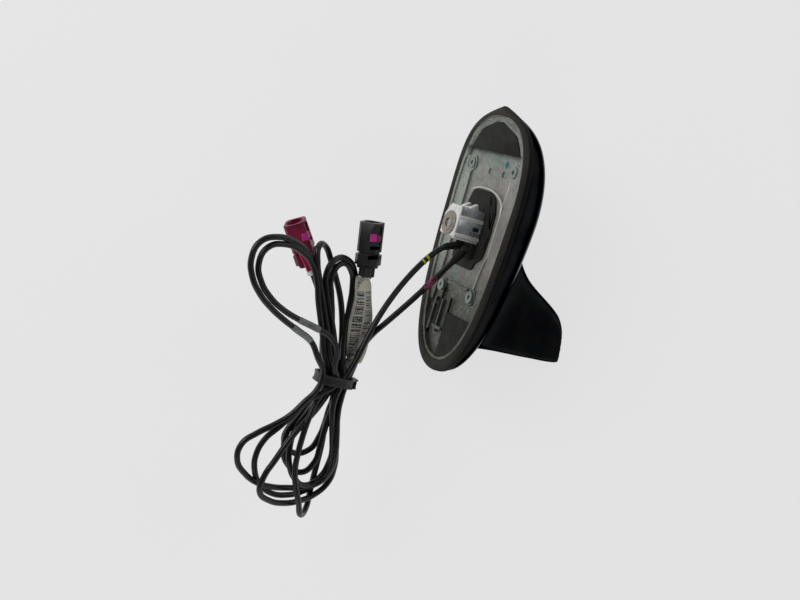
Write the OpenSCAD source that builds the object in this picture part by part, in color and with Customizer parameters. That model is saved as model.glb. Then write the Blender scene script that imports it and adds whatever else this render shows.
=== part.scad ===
// Car roof antenna with a fin, a toothed roof clamp and two coax leads tied in a hank.
// X points to the nose, Y to the left and Z up. The origin is where the axis of the mounting
// post crosses the roof's surface, which is the underside of the gasket.

/* [Outline] */
// Length ahead of the post's axis
nose_len = 58.5; // [54:0.5:68]
// Length behind the post's axis
tail_len = 68.7; // [62:0.1:76]
// Width over the gasket
base_w = 67.8; // [60:0.2:74]
// How far ahead of the post the outline is widest
wide_x = 18; // [14:1:24]

/* [Gasket] */
// Width of the rubber rim
rim_w = 5; // [4:0.5:6]
// Height of the rubber rim
rim_h = 3.2; // [2.6:0.1:4]

/* [Cover] */
// Height of the body's ridge above the roof
ridge_h = 25.1; // [22:0.1:30]
// Height of the fin above the roof
fin_h = 67; // [60:1:74]
// Thickness of the fin's flat part
fin_t = 8; // [7:0.2:10]
// Wall of the moulded shell
wall = 2; // [1.6:0.1:2.4]
// Gap between the shell's outer face and the edge of the gasket
cover_inset = 0.9; // [0.4:0.1:1.4]

/* [Base plate] */
// Height of the plate's underside above the roof
floor_z = 2.4; // [2:0.1:3]
// Thickness of the plate
plate_t = 2.2; // [1.6:0.1:3]
// Thickness of the plate's rim wall
rim_wall = 1.4; // [1:0.1:2]
// Distance of the front screws ahead of the post
front_screw_x = 30; // [26:1:34]
// Half the distance between the front screws
front_screw_y = 20; // [17:0.5:21]
// Distance of the rear screws behind the post
rear_screw_x = 30; // [28:1:34]
// Half the distance between the rear screws
rear_screw_y = 14.5; // [13:0.5:16]

/* [Roof clamp] */
// Side of the square mounting post
post_w = 7.6; // [7:0.2:8.4]
// How far the post reaches below the roof
post_drop = 9.6; // [8:0.2:10.4]
// Diameter of the clamp bolt
bolt_d = 5; // [4:0.5:5.5]
// Diameter of the bolt's flange
flange_d = 14.4; // [12:0.4:16]
// Sheet thickness of the toothed claw
claw_t = 1.2; // [0.8:0.1:1.4]
// Width of the claw across the post
claw_w = 14; // [12.5:0.5:15]
// How far the claw reaches below the roof
claw_drop = 12; // [11.4:0.2:14]

/* [Inside] */
// Height of the circuit board's underside above the roof
board_z = 8; // [7:0.2:9]
// Width of the circuit board
board_w = 27; // [24:1:28]
// Height of the shield can
can_h = 5; // [4:0.5:7]
// Thickness of the radiator blade
blade_t = 0.8; // [0.6:0.1:1]

/* [Leads] */
// Diameter of the coax cords
cord_d = 2.8; // [2.6:0.1:2.9]
// Side of a connector's square housing
plug_w = 9.4; // [9:0.1:10]
// Length of a connector's housing
plug_len = 21; // [20:0.5:23]

/* [Hidden] */

black = [0.06, 0.06, 0.065];
rubber = [0.14, 0.14, 0.14];
cast = [0.58, 0.60, 0.57];
bright = [0.82, 0.83, 0.84];
bordeaux = [0.45, 0.04, 0.16];
magenta = [0.72, 0.12, 0.45];

half_w = base_w / 2;
mid_x = (nose_len - tail_len) / 2;
half_len = (nose_len + tail_len) / 2;
nose_full = 0.64;
tail_full = 0.86;
plan_steps = 12;

function mix(a, b, t) = a + (b - a) * t;
function bez(a, b, c, d, t) =
  pow(1 - t, 3) * a + 3 * pow(1 - t, 2) * t * b + 3 * (1 - t) * t * t * c + pow(t, 3) * d;
// Left half of the plan outline, from the nose (t = 0) over the widest point (t = 1) to the tail (t = 2)
function plan_pt(t) = t < 1
  ? bez([nose_len, 0], [nose_len - 6.1, half_w * nose_full], [nose_len - 10.1, half_w], [wide_x, half_w], t)
  : bez([wide_x, half_w], [wide_x - 48, half_w], [-tail_len, half_w * tail_full], [-tail_len, 0], t - 1);
// The same point on an outline that lies evenly inside the first
function inset_pt(p, inset) =
  [mid_x + (p[0] - mid_x) * (half_len - inset) / half_len, p[1] * (half_w - inset) / half_w];
function plan_half(inset) =
  [for (i = [0:2 * plan_steps]) inset_pt(plan_pt(i / plan_steps), inset)];
function mirrored(half) =
  concat(half, [for (i = [len(half) - 2:-1:1]) [half[i][0], -half[i][1]]]);
module plan(inset) polygon(mirrored(plan_half(inset)));
module plan_slab(inset, z0, z1) translate([0, 0, z0]) linear_extrude(z1 - z0) plan(inset);
module plan_ring(outer, inner, z0, z1) translate([0, 0, z0]) linear_extrude(z1 - z0)
  difference() { plan(outer); plan(inner); }

// A rectangle from corner to corner with round corners, as points
function round_rect(x0, x1, y0, y1, r, n = 6) = [
  for (k = [0:3], i = [0:n])
    let (a = 90 * (k + i / n), cx = (k == 0 || k == 3) ? x1 - r : x0 + r, cy = k < 2 ? y1 - r : y0 + r)
      [cx + r * cos(a), cy + r * sin(a)]];
module round_slab(x0, x1, y0, y1, r, z0, z1)
  translate([0, 0, z0]) linear_extrude(z1 - z0) polygon(round_rect(x0, x1, y0, y1, r));
module box(x0, x1, y0, y1, z0, z1) translate([x0, y0, z0]) cube([x1 - x0, y1 - y0, z1 - z0]);
module both_sides() { children(); mirror([0, 1, 0]) children(); }

// A closed skin over rings of equal length, the first and last closed by flat caps
module skin(rings) {
  n = len(rings[0]);
  m = len(rings);
  polyhedron(
    points = [for (r = rings, p = r) p],
    faces = concat(
      [[for (i = [n - 1:-1:0]) i]],
      [for (k = [0:m - 2], i = [0:n - 1]) [k * n + i, k * n + (i + 1) % n, (k + 1) * n + (i + 1) % n,
        (k + 1) * n + i]],
      [[for (i = [0:n - 1]) (m - 1) * n + i]]),
    convexity = 6);
}

// Ridge height of the body at x: a bluff nose, a crown near the post and a long fall to the tail
crown_x = 10;
cover_nose_x = nose_len - 1.8;
function ridge_z(x, inset) = let (
    top = ridge_h - rim_h - inset,
    u = x > crown_x ? (x - crown_x) / (cover_nose_x - inset - crown_x)
                    : (crown_x - x) / (crown_x + tail_len + 3 - inset),
    v = min(1, max(0, u)))
  top * (x > crown_x ? pow(1 - v * v, 0.56) : pow(1 - pow(v, 1.3), 0.49));

body_sides = 20;
body_ends = 0.04;
// One section of the body across x, a half ellipse that stands on the gasket
function body_section(t, inset, drop) = let (
    p = inset_pt(plan_pt(t), cover_inset + inset),
    h = max(0.4, ridge_z(p[0], inset)))
  concat(
    [for (i = [0:body_sides]) let (a = 180 * i / body_sides) [p[0], p[1] * cos(a), rim_h + h * sin(a)]],
    [[p[0], -p[1], rim_h - drop], [p[0], p[1], rim_h - drop]]);
module body_form(inset, drop) skin([
  for (i = [0:2 * plan_steps]) let (t = max(body_ends, min(2 - body_ends, i / plan_steps)))
    body_section(t, inset, drop)]);

// Side profile of the fin, from its foot inside the body to its top: x and z of the leading edge,
// then x and z of the trailing edge
fin_rows = [[13, 22.7, -57.2, 7.5], [10.5, 24.4, -55.9, 11.5], [7, 25.6, -55.2, 14.2], [2.5, 26.9, -54.7, 17],
  [-2.2, 28.3, -54.3, 19.8], [-6.4, 30, -54, 22.8], [-10.4, 32.6, -53.8, 26.4],
  [-14, 35.9, -53.6, 30.6], [-17.3, 40, -53.5, 35.4], [-20.6, 45.6, -53.4, 41],
  [-23.7, 51.4, -53.3, 47], [-26.4, 56.2, -53.1, 52.6], [-29.2, 60.3, -53, 57.8], [-32, 62.8, -52.8, 61.8],
  [-35.4, 64.5, -52.6, 64.4], [-39.6, 65.6, -52.3, 65.9], [-44.2, 66.4, -52, 66.7], [-47.8, 67, -51.6, 67]];
// Stations from the trailing to the leading edge: share of the chord, millimetres from it on a
// chord of 40, and share of the half thickness
fin_stations = [[0, 0, 0.34], [0, 0.5, 0.66], [0, 1.6, 0.86], [0, 3.2, 1], [0.24, 0, 1], [0.38, 0, 1],
  [0.52, 0, 1], [0.66, 0, 1], [1, -8, 1], [1, -5.2, 0.93], [1, -2.9, 0.77], [1, -1.2, 0.5], [1, 0, 0.13]];
function fin_z(z) = z < 25.1 ? z * ridge_h / 25.1 : ridge_h + (z - 25.1) * (fin_h - ridge_h) / 41.9;
// Half thickness of the fin, with a wide foot on the body and a slim top
function fin_half(x, z) =
  fin_t / 2 * mix(1, 0.72, min(1, max(0, (z - ridge_h) / (fin_h - ridge_h))))
  + mix(7.5, 2, min(1, max(0, (x + 55) / 60))) * exp(-max(0, z - rim_h - ridge_z(x, 0) + 0.6) / 3.4);
function fin_point(row, s, inset) = let (
    x0 = row[2] + inset, x1 = max(row[0] - inset * 1.6, x0 + 1),
    z0 = fin_z(row[3]), z1 = fin_z(row[1]),
    x = mix(x0, x1, s[0]) + s[1] * (x1 - x0) / 40,
    z = mix(z0, z1, (x - x0) / (x1 - x0)))
  [x, s[2] * max(0.5, fin_half(x, z) - inset), z - inset];
function fin_side(row, inset) = [for (s = fin_stations) fin_point(row, s, inset)];
function fin_section(row, inset) = let (side = fin_side(row, inset), n = len(side))
  concat(side, [for (i = [n - 1:-1:0]) [side[i][0], -side[i][1], side[i][2]]]);
module fin_form(inset) skin([for (row = fin_rows) fin_section(row, inset)]);

boss_d = 7;
pilot_d = 2.5;
plate_top = floor_z + plate_t;
screw_spots = [[front_screw_x, front_screw_y], [front_screw_x, -front_screw_y],
  [-rear_screw_x, rear_screw_y], [-rear_screw_x, -rear_screw_y]];
screw_d = 3;
screw_reach = 7;

module cover() color(black) difference() {
  union() {
    difference() {
      union() {
        body_form(0, 0);
        intersection() {
          fin_form(0);
          plan_slab(cover_inset, rim_h, fin_h + 1);
        }
      }
      body_form(wall, 1);
      fin_form(wall);
    }
    intersection() {
      body_form(wall / 2, 0);
      for (s = screw_spots) translate([s[0], s[1], plate_top]) cylinder(d = boss_d, h = ridge_h, $fn = 28);
    }
  }
  for (s = screw_spots) translate([s[0], s[1], plate_top - 1])
    cylinder(d = pilot_d, h = screw_reach + 3, $fn = 24);
}

// Rubber rim: the flank is full width, the sole a little narrower
sole_h = 0.6;
sole_inset = 0.6;
module gasket() color(rubber) union() {
  plan_ring(0, rim_w, sole_h, rim_h);
  plan_ring(sole_inset, rim_w, 0, sole_h);
}

// Base plate
edge_gap = 0.1;
plate_inset = rim_w + edge_gap;
flange_inset = cover_inset + wall + 0.8;
rim_wall_z = 0.4;
rail_z = 1.3;
rail_y = 19.5;
rail_front = 33;
rail_rear = -38;
lip_z = 0.8;
lip_w = 1.2;
lip_front = 18.8;
lip_rear = -20;
lip_half = 14.6;
seat_d = 7.6;
seat_z = 1.6;
hole_gap = 0.2;
board_front = 40;
board_rear = -38;
stand_spots = [[36, 9], [36, -9], [-34, 7], [-34, -7]];
stand_d = 6;
board_screw_d = 2.4;
grommet_x0 = -13.6;
grommet_x1 = -5.2;
grommet_half = 6.6;
nose_pad_x = 37;
tail_pad_x = -41;
rib_t = 1.2;
dimple_d = 3;
dimple_spots = [[28, -3], [28, 10]];

module base_plate() color(cast) difference() {
  union() {
    plan_slab(plate_inset, floor_z, plate_top);
    intersection() {
      plan_slab(flange_inset, rim_h, plate_top);
      box(-tail_len, nose_len - 4.8, -half_w, half_w, rim_h, plate_top);
    }
    plan_ring(plate_inset, plate_inset + rim_wall, rim_wall_z, floor_z);
    // Side rails
    intersection() {
      plan_slab(plate_inset, rail_z, floor_z);
      both_sides() box(rail_rear, rail_front, rail_y, half_w, rail_z, floor_z);
    }
    // Raised lip round the post pad, with a straight run ahead of it on the left
    difference() {
      round_slab(lip_rear, lip_front, -lip_half, lip_half, 9, lip_z, floor_z);
      round_slab(lip_rear + lip_w, lip_front - lip_w, -lip_half + lip_w, lip_half - lip_w, 8, lip_z - 1,
        floor_z);
    }
    box(9, 25, lip_half - lip_w, lip_half, lip_z, floor_z);
    // Screw seats
    for (s = screw_spots) translate([s[0], s[1], seat_z]) cylinder(d = seat_d, h = floor_z - seat_z, $fn = 28);
    // Ribs in the tail
    for (y = [-16, -9]) box(-52, -36, y, y + rib_t, lip_z, floor_z);
    box(-50.5, -49, -12, -3, lip_z, floor_z);
    box(-28, -26.8, -10, 10, rail_z, floor_z);
    // Standoffs for the board
    for (s = stand_spots) translate([s[0], s[1], plate_top]) cylinder(d = stand_d, h = board_z - plate_top,
      $fn = 24);
    // Post
    box(-post_w / 2, post_w / 2, -post_w / 2, post_w / 2, -post_drop, floor_z);
  }
  translate([0, 0, -post_drop - 1]) cylinder(d = bolt_d + 0.1, h = post_drop + plate_top - 0.4, $fn = 28);
  round_slab(grommet_x0, grommet_x1, -grommet_half, grommet_half, 2.5, -1, plate_top + 1);
  for (s = screw_spots) translate([s[0], s[1], 0]) cylinder(d = screw_d + 2 * hole_gap, h = 20, $fn = 24);
  for (s = screw_spots) translate([s[0], s[1], -1]) cylinder(d = seat_d, h = 1 + seat_z, $fn = 28);
  for (s = stand_spots) translate([s[0], s[1], plate_top]) cylinder(d = board_screw_d, h = 20, $fn = 20);
  for (s = dimple_spots) translate([s[0], s[1], floor_z - 1]) cylinder(d = dimple_d, h = 1.6, $fn = 20);
}

pad_gap = 0.1;
nose_pad_z = 0.5;
module nose_pad() color(rubber) intersection() {
  plan_slab(plate_inset + rim_wall + pad_gap, nose_pad_z, floor_z);
  box(nose_pad_x, nose_len, -half_w, half_w, 0, floor_z);
}

post_pad_z = 1.5;
slot_rows = [[11.5, 16], [3, 10], [-6, 1.5]];
module post_pad() color(rubber) difference() {
  round_slab(lip_rear + lip_w + pad_gap, lip_front - lip_w - pad_gap, -lip_half + lip_w + pad_gap,
    lip_half - lip_w - pad_gap, 8, post_pad_z, floor_z);
  round_slab(grommet_x0 - 0.1, post_w / 2 + 0.1, -grommet_half - 0.1, grommet_half + 0.1, 2.5, 0, floor_z + 1);
  for (s = slot_rows) round_slab(s[0], s[1], 9.6, 11.2, 0.7, 0, floor_z + 1);
}

tail_pad_z = 0.9;
module tail_pad() color(rubber) intersection() {
  plan_slab(plate_inset + rim_wall + pad_gap, tail_pad_z, floor_z);
  box(-tail_len, tail_pad_x, -1, half_w, 0, floor_z);
}

// The rubber plug is moulded round both leads and ends in two short spouts
grommet_z = -1;
grommet_top = 5.4;
spout_d = 4.4;
spout_len = 3;
exit_yellow = [-9, -4, -2.6];
exit_magenta = [-10.8, 3.6, -2.4];
lean_yellow = 22;
lean_magenta = 52;
module spout(exit, lean) translate(exit) rotate([0, lean, 0]) cylinder(d = spout_d, h = spout_len, $fn = 24);
module cable_grommet() color(rubber) union() {
  round_slab(grommet_x0 + 0.1, grommet_x1 - 0.1, 0.1 - grommet_half, grommet_half - 0.1, 2.4, grommet_z,
    grommet_top);
  spout(exit_yellow, lean_yellow);
  spout(exit_magenta, lean_magenta);
}

head_d = 5.6;
head_t = 1.1;
module screw(spot) translate([spot[0], spot[1], 0]) difference() {
  union() {
    translate([0, 0, seat_z - head_t]) cylinder(d = head_d, h = head_t, $fn = 28);
    translate([0, 0, seat_z]) cylinder(d = screw_d, h = plate_top - seat_z, $fn = 20);
    translate([0, 0, plate_top]) cylinder(d = pilot_d - 0.1, h = screw_reach, $fn = 20);
  }
  translate([0, 0, seat_z - head_t - 1]) cylinder(d = 2.2, h = 1.6, $fn = 6);
}
module cover_screws() color(bright) for (s = screw_spots) screw(s);

// Toothed claw: a bottom plate on the bolt's flange and four folded walls round the post
claw_front = 9;
claw_rear = -post_w / 2 - claw_t - 0.2;
claw_top = -2.2;
tooth_h = 1.4;
tooth_w = 3;
tooth_reach = 2.4;
ridge_d = 1.8;
module claw() color(bright) difference() {
  union() {
    box(claw_rear, claw_front, -claw_w / 2, claw_w / 2, -claw_drop, claw_top);
    // Rolled ridges on both side walls
    both_sides() for (x = [claw_rear + 0.9, claw_front - 5.4, claw_front - 0.9])
      translate([x, claw_w / 2, -claw_drop]) cylinder(d = ridge_d, h = claw_top + claw_drop, $fn = 24);
    for (y = [-3.6, 3.6]) tooth(y);
  }
  box(claw_rear + claw_t, claw_front - claw_t, -claw_w / 2 + claw_t, claw_w / 2 - claw_t,
    -claw_drop + claw_t, 0);
  translate([0, 0, -claw_drop - 1]) cylinder(d = bolt_d + 0.4, h = 4, $fn = 28);
  both_sides() box(claw_front - 4.2, claw_front - 2.4, claw_w / 2 - claw_t - 1, claw_w / 2 + 2, -5.6, -3);
}
module tooth(y) translate([claw_front - claw_t, y - tooth_w / 2, 0]) rotate([-90, 0, 0])
  linear_extrude(tooth_w) polygon([[0, -claw_top], [0, -claw_top + 2.2], [claw_t, -claw_top + 2.2],
    [claw_t + tooth_reach, -claw_top - tooth_h + 0.3], [claw_t, -claw_top]]);

flange_t = 1.3;
socket_d = 4.4;
module clamp_bolt() color([0.45, 0.40, 0.36]) difference() {
  union() {
    translate([0, 0, -claw_drop - flange_t]) cylinder(d = flange_d, h = flange_t, $fn = 48);
    translate([0, 0, -claw_drop - flange_t - 0.7]) cylinder(d1 = 7, d2 = 8.4, h = 0.7, $fn = 32);
    translate([0, 0, -claw_drop]) cylinder(d = bolt_d, h = claw_drop + floor_z, $fn = 28);
  }
  translate([0, 0, -claw_drop - flange_t - 1]) cylinder(d = socket_d, h = 2.6, $fn = 6);
}

board_t = 1.6;
board_top = board_z + board_t;
module circuit_board() color([0.1, 0.32, 0.16]) difference() {
  round_slab(board_rear, board_front, -board_w / 2, board_w / 2, 4, board_z, board_top);
  for (s = stand_spots) translate([s[0], s[1], board_z - 1]) cylinder(d = board_screw_d + 0.4, h = 4, $fn = 20);
  for (s = screw_spots) translate([s[0], s[1], board_z - 1]) cylinder(d = boss_d + 0.8, h = 4, $fn = 28);
}
module board_screws() color(bright) for (s = stand_spots) translate([s[0], s[1], 0]) {
  translate([0, 0, plate_top]) cylinder(d = board_screw_d - 0.05, h = board_top - plate_top, $fn = 20);
  translate([0, 0, board_top]) cylinder(d = 4.4, h = 1.4, $fn = 24);
}

can_front = 26;
can_rear = -8;
can_half = 10;
can_t = 0.5;
module shield_can() color(bright) difference() {
  round_slab(can_rear, can_front, -can_half, can_half, 1.5, board_top, board_top + can_h);
  round_slab(can_rear + can_t, can_front - can_t, -can_half + can_t, can_half - can_t, 1, board_top - 1,
    board_top + can_h - can_t);
}
module board_parts() color([0.15, 0.15, 0.17]) {
  box(29, 34, -3, 3, board_top, board_top + 1.6);
  for (y = [-10, -6, 6, 10]) box(-14, -11.6, y - 0.8, y + 0.8, board_top, board_top + 1);
  translate([-20, 9, board_top]) cylinder(d = 4, h = 3, $fn = 24);
}

// Radiator: a thin blade in the fin, held in a slotted plastic foot on the board
blade_x = -37;
holder_top = 24;
blade_foot = board_top + 4;
blade_pts = [[-49, blade_foot], [-49, fin_h - 7], [-40, fin_h - 8], [-33, fin_h - 12.5],
  [-27.5, fin_h - 23], [-24, fin_h - 31], [-24, blade_foot]];
module radiator_blade() color([0.72, 0.55, 0.3]) translate([0, blade_t / 2, 0]) rotate([90, 0, 0])
  linear_extrude(blade_t) difference() {
    polygon(blade_pts);
    for (z = [30, 38, 46]) polygon(round_rect(-45, z == 46 ? -33 : -31, z, z + 3, 1.4));
  }
module blade_holder() color([0.85, 0.85, 0.82]) difference() {
  union() {
    box(-44, -24, -4, 4, board_top, board_top + 6);
    box(-42, -26, -1.6, 1.6, board_top + 5, holder_top - 4);
  }
  box(-60, -10, -blade_t / 2 - 0.05, blade_t / 2 + 0.05, blade_foot, 60);
  box(-45, -38, -5, 5, board_top - 1, board_top + 2);
}
module contact_spring() color([0.8, 0.65, 0.35]) rotate([90, 0, 0]) translate([0, 0, -5.6])
  linear_extrude(1.4) polygon([[-23, board_top], [-19, board_top], [-19, board_top + 0.4],
    [-22.4, board_top + 0.5], [-23.4, board_top + 4], [-23.8, board_top + 4]]);
module inner_leads() color(black) for (y = [-4.2, 4.2]) translate([-9, y, grommet_top]) {
  cylinder(d = cord_d, h = board_z - grommet_top - 0.6, $fn = 24);
  translate([0, 0, board_z - grommet_top - 1.6]) cylinder(d = 3.6, h = 1.6, $fn = 24);
}

// Cords: a tube swept along points, with eight sides
tube_sides = 8;
function unit(v) = v / norm(v);
function path_dir(p, i) = unit(p[min(i + 1, len(p) - 1)] - p[max(i - 1, 0)]);
function tube_ring(p, d, r) = let (u = unit(cross(d, [0, 1, 0])), v = cross(u, d))
  [for (k = [0:tube_sides - 1]) let (a = 360 * (k + 0.5) / tube_sides) p + r * (cos(a) * u + sin(a) * v)];
module tube(path, d) skin([for (i = [0:len(path) - 1]) tube_ring(path[i], path_dir(path, i), d / 2)]);

function leaving(exit, lean, s) = exit - s * [sin(lean), 0, cos(lean)];
yellow_path = [leaving(exit_yellow, lean_yellow, 0.1), leaving(exit_yellow, lean_yellow, 1.4), [-10.5, -4, -6.4], [-12.5, -3.8, -10.4], [-16.2, -3.4, -14.2],
  [-20.5, -2.9, -17.6], [-26.8, -2, -22], [-33.5, -0.6, -26.4], [-41, 0.8, -30.2], [-49, 2, -33.8],
  [-56, 3, -36.4], [-62, 3.8, -37.9], [-67, 4, -38.8]];
magenta_path = [leaving(exit_magenta, lean_magenta, 0.1), leaving(exit_magenta, lean_magenta, 1.4),
  [-15.5, 3.5, -5.8], [-20, 3.4, -8.6], [-24.5, 3.3, -11.4],
  [-31, 3.2, -15.6], [-37.6, 3, -19.9], [-45, 2.5, -25], [-51.8, 2, -30], [-58.6, 1.4, -34.2],
  [-64.5, 1, -36.8], [-68.5, 0.8, -38.2]];

module lead_yellow() color(black) tube(yellow_path, cord_d);
module lead_magenta() color(black) tube(magenta_path, cord_d);

// A ring on a straight stretch of a cord, from a to b, given as shares of the stretch p to q
module band(p, q, a, b, d) {
  v = q - p;
  translate(p + v * a) rotate([0, acos(v[2] / norm(v)), atan2(v[1], v[0])]) difference() {
    cylinder(d = d, h = norm(v) * (b - a), $fn = 24);
    translate([0, 0, -1]) cylinder(d = cord_d + 0.04, h = norm(v) * (b - a) + 2, $fn = 24);
  }
}
band_d = cord_d + 0.5;
module yellow_bands() color([0.85, 0.85, 0.1]) {
  band(yellow_path[4], yellow_path[5], 0.55, 0.95, band_d);
  band(yellow_path[5], yellow_path[6], 0.1, 0.35, band_d);
}
module magenta_band() color([0.75, 0.3, 0.5]) {
  band(magenta_path[4], magenta_path[5], 0.08, 0.92, band_d);
}

// Hank: one outer shape for the loops on each side of the tie
hank_half = 5.6;
waist_x = -83;
waist_z = -46;
waist_half = 8.2;
module hank_slab() translate([0, hank_half, 0]) rotate([90, 0, 0]) linear_extrude(2 * hank_half) children();
module disc(x, z, r) translate([x, z]) circle(r = r, $fn = 32);
tie_w = 4.4;
tie_t = 1.1;
tie_gap = 0.1;
// The loops are squeezed flat where the tie goes round
module tie_seat() for (s = [0, 1]) mirror([0, s]) translate([0, s * -2 * waist_z])
  translate([waist_x - tie_w / 2 - 0.15, waist_z + waist_half]) square([tie_w + 0.3, 20]);
module hank_front() color(black) hank_slab() difference() {
  intersection() {
    hull() {
      disc(-39, -87, 13.5);
      disc(-33.5, -64.5, 7.5);
      disc(waist_x + waist_half, waist_z, waist_half);
      disc(waist_x - 1, waist_z, waist_half);
    }
    translate([waist_x, -120]) square([120, 120]);
  }
  tie_seat();
}
module hank_rear() color(black) hank_slab() difference() {
  intersection() {
    hull() {
      disc(waist_x + 1, waist_z, waist_half);
      disc(-122, -71, 12);
      disc(-136, -58, 9);
      disc(-131, -37, 7);
      disc(-145, -44, 4);
    }
    translate([waist_x - 120, -120]) square([120, 120]);
  }
  tie_seat();
}

tie_head = [5.4, 6, 4];
module cable_tie() color(rubber) {
  translate([waist_x - tie_w / 2, 0, waist_z]) rotate([0, 90, 0]) linear_extrude(tie_w) difference() {
    polygon(round_rect(-waist_half - tie_t - tie_gap, waist_half + tie_t + tie_gap,
      -hank_half - tie_t - tie_gap, hank_half + tie_t + tie_gap, 2.4));
    polygon(round_rect(-waist_half - tie_gap, waist_half + tie_gap, -hank_half - tie_gap,
      hank_half + tie_gap, 0.3));
  }
  translate([waist_x - tie_head[0] / 2, -tie_head[1] / 2, waist_z + waist_half + tie_t])
    cube(tie_head);
  translate([waist_x - 1.9, tie_head[1] / 2, waist_z + waist_half + tie_t + 0.6]) cube([3.8, 3, 1.2]);
}

// Connectors stand on their own axis: z runs from the mating face to the cord
black_face = [-9.4, -3.5, -48.3];
black_end = [-35, -3.5, -43.4];
red_face = [-19, -12.6, -81];
red_end = [-39.8, -12.6, -65.4];
module on_axis(from, to, roll) {
  v = to - from;
  translate(from) rotate([0, acos(v[2] / norm(v)), atan2(v[1], v[0])]) rotate([0, 0, roll]) children();
}
module prism(w, c, z0, z1) translate([0, 0, z0]) linear_extrude(z1 - z0) polygon([
  for (k = [0:3], s = [0, 1]) let (a = 90 * k, u = w / 2, v = w / 2 - c, x = u, y = s == 0 ? -v : v)
    [x * cos(a) - y * sin(a), x * sin(a) + y * cos(a)]]);
port_d = 7.4;
port_depth = 5;
bore_d = 6.2;
bore_depth = 12;
ferrule_d = 4.8;
collar_z = 13.5;
boot_d = 7.3;
boot_len = 4;
window_w = 2.6;
window_z = [5.6, 8.8];
module housing(collar, boot) difference() {
  union() {
    prism(plug_w, 1.3, 0, collar_z);
    prism(plug_w - 1.2, 1.3, collar_z - 1, plug_len);
    prism(plug_w + collar, 2, collar_z + 1.2, plug_len - 1.5);
    if (boot) translate([0, 0, plug_len - 1]) cylinder(d = boot_d, h = boot_len + 1, $fn = 32);
    // Keying ribs
    for (a = [0, 180]) rotate([0, 0, a]) box(plug_w / 2 - 0.5, plug_w / 2 + 0.7, -0.6, 0.6, 1.2, 10);
    // Latch bridge
    rotate([0, 0, 90]) box(plug_w / 2 - 1, plug_w / 2 + 1.3, -2.6, 2.6, 9.6, collar_z + 3);
  }
  translate([0, 0, -1]) cylinder(d = port_d, h = port_depth + 1, $fn = 40);
  translate([0, 0, 1]) cylinder(d = bore_d, h = bore_depth - 1, $fn = 40);
  translate([0, 0, bore_depth - 1]) cylinder(d = ferrule_d + 0.1, h = 40, $fn = 32);
  for (a = [90, 180]) rotate([0, 0, a]) box(bore_d / 2 - 0.4, plug_w / 2 + 2, -window_w / 2, window_w / 2,
    window_z[0], window_z[1]);
  rotate([0, 0, 90]) box(plug_w / 2 + 0.3, plug_w / 2 + 2, -1.2, 1.2, 9, collar_z + 1.5);
}
// The lock shows in the housing's windows and closes behind the contact
module lock() for (a = [90, 180]) rotate([0, 0, a]) box(bore_d / 2 + 0.05, plug_w / 2 - 0.25,
  -window_w / 2 + 0.05, window_w / 2 - 0.05, window_z[0] + 0.05, window_z[1] - 0.05);
module contact() difference() {
  union() {
    translate([0, 0, port_depth + 0.4]) cylinder(d = 5, h = bore_depth - port_depth - 0.4, $fn = 32);
    translate([0, 0, bore_depth - 2.6]) cylinder(d = bore_d - 0.04, h = 1.6, $fn = 32);
  }
  translate([0, 0, port_depth - 1]) difference() {
    cylinder(d = 4.2, h = 5, $fn = 32);
    cylinder(d = 1, h = 9, $fn = 16);
  }
}
module ferrule(boot) difference() {
  translate([0, 0, bore_depth]) cylinder(d = ferrule_d, h = plug_len + boot_len + 1 - bore_depth, $fn = 32);
  translate([0, 0, bore_depth + 3]) cylinder(d = cord_d + 0.2, h = 40, $fn = 24);
}
plug_roll = 45;
red_roll = 30;
module black_housing() color(black) on_axis(black_face, black_end, plug_roll) housing(1, true);
module black_lock() color(magenta) on_axis(black_face, black_end, plug_roll) lock();
module black_contact() color([0.75, 0.62, 0.35]) on_axis(black_face, black_end, plug_roll) contact();
module black_ferrule() color(bright) on_axis(black_face, black_end, plug_roll) ferrule();
module red_housing() color(bordeaux) on_axis(red_face, red_end, red_roll) housing(1, false);
module red_lock() color([0.8, 0.05, 0.2]) on_axis(red_face, red_end, red_roll) lock();
module red_contact() color([0.75, 0.62, 0.35]) on_axis(red_face, red_end, red_roll) contact();
module red_ferrule() color(bright) on_axis(red_face, red_end, red_roll) ferrule();

black_mouth = black_face + unit(black_end - black_face) * (plug_len + boot_len + 1);
red_mouth = red_face + unit(red_end - red_face) * (plug_len + boot_len + 1);
black_tail_end = [-68.6, -3.5, -38.1];
black_tail_path = [for (i = [0:5]) mix(black_mouth, black_tail_end, i / 5)];
red_tail_path = [red_mouth, [-44, -11.6, -62.4], [-48.5, -9.9, -60], [-52, -8.2, -58.4], [-54.6, -6.9, -57.4]];
module black_tail() color(black) tube(black_tail_path, cord_d);
module red_tail() color(black) tube(red_tail_path, cord_d);

// Paper wrapped round the cord, its two ends stuck together as a flag
label_t = 0.35;
flag_w = 6;
module paper_label() {
  p = black_tail_path[0];
  q = black_tail_path[5];
  v = q - p;
  color([0.87, 0.85, 0.78]) translate(p + v * 0.03) rotate([0, acos(v[2] / norm(v)), atan2(v[1], v[0])])
    linear_extrude(norm(v) * 0.84) difference() {
      union() {
        circle(d = cord_d + 0.3 + 2 * label_t, $fn = 28);
        translate([-flag_w, 1.05]) square([flag_w, 0.6]);
      }
      circle(d = cord_d + 0.3, $fn = 28);
    }
}

cover();
gasket();
base_plate();
nose_pad();
post_pad();
tail_pad();
cable_grommet();
cover_screws();
claw();
clamp_bolt();
circuit_board();
board_screws();
shield_can();
board_parts();
radiator_blade();
blade_holder();
contact_spring();
inner_leads();
lead_yellow();
lead_magenta();
yellow_bands();
magenta_band();
hank_front();
hank_rear();
cable_tie();
black_tail();
red_tail();
paper_label();
black_housing();
black_lock();
black_contact();
black_ferrule();
red_housing();
red_lock();
red_contact();
red_ferrule();
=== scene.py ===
"""Looks of the roof antenna: smooth shell and rim, real cords in their hank, and worn materials."""
import math

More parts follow.
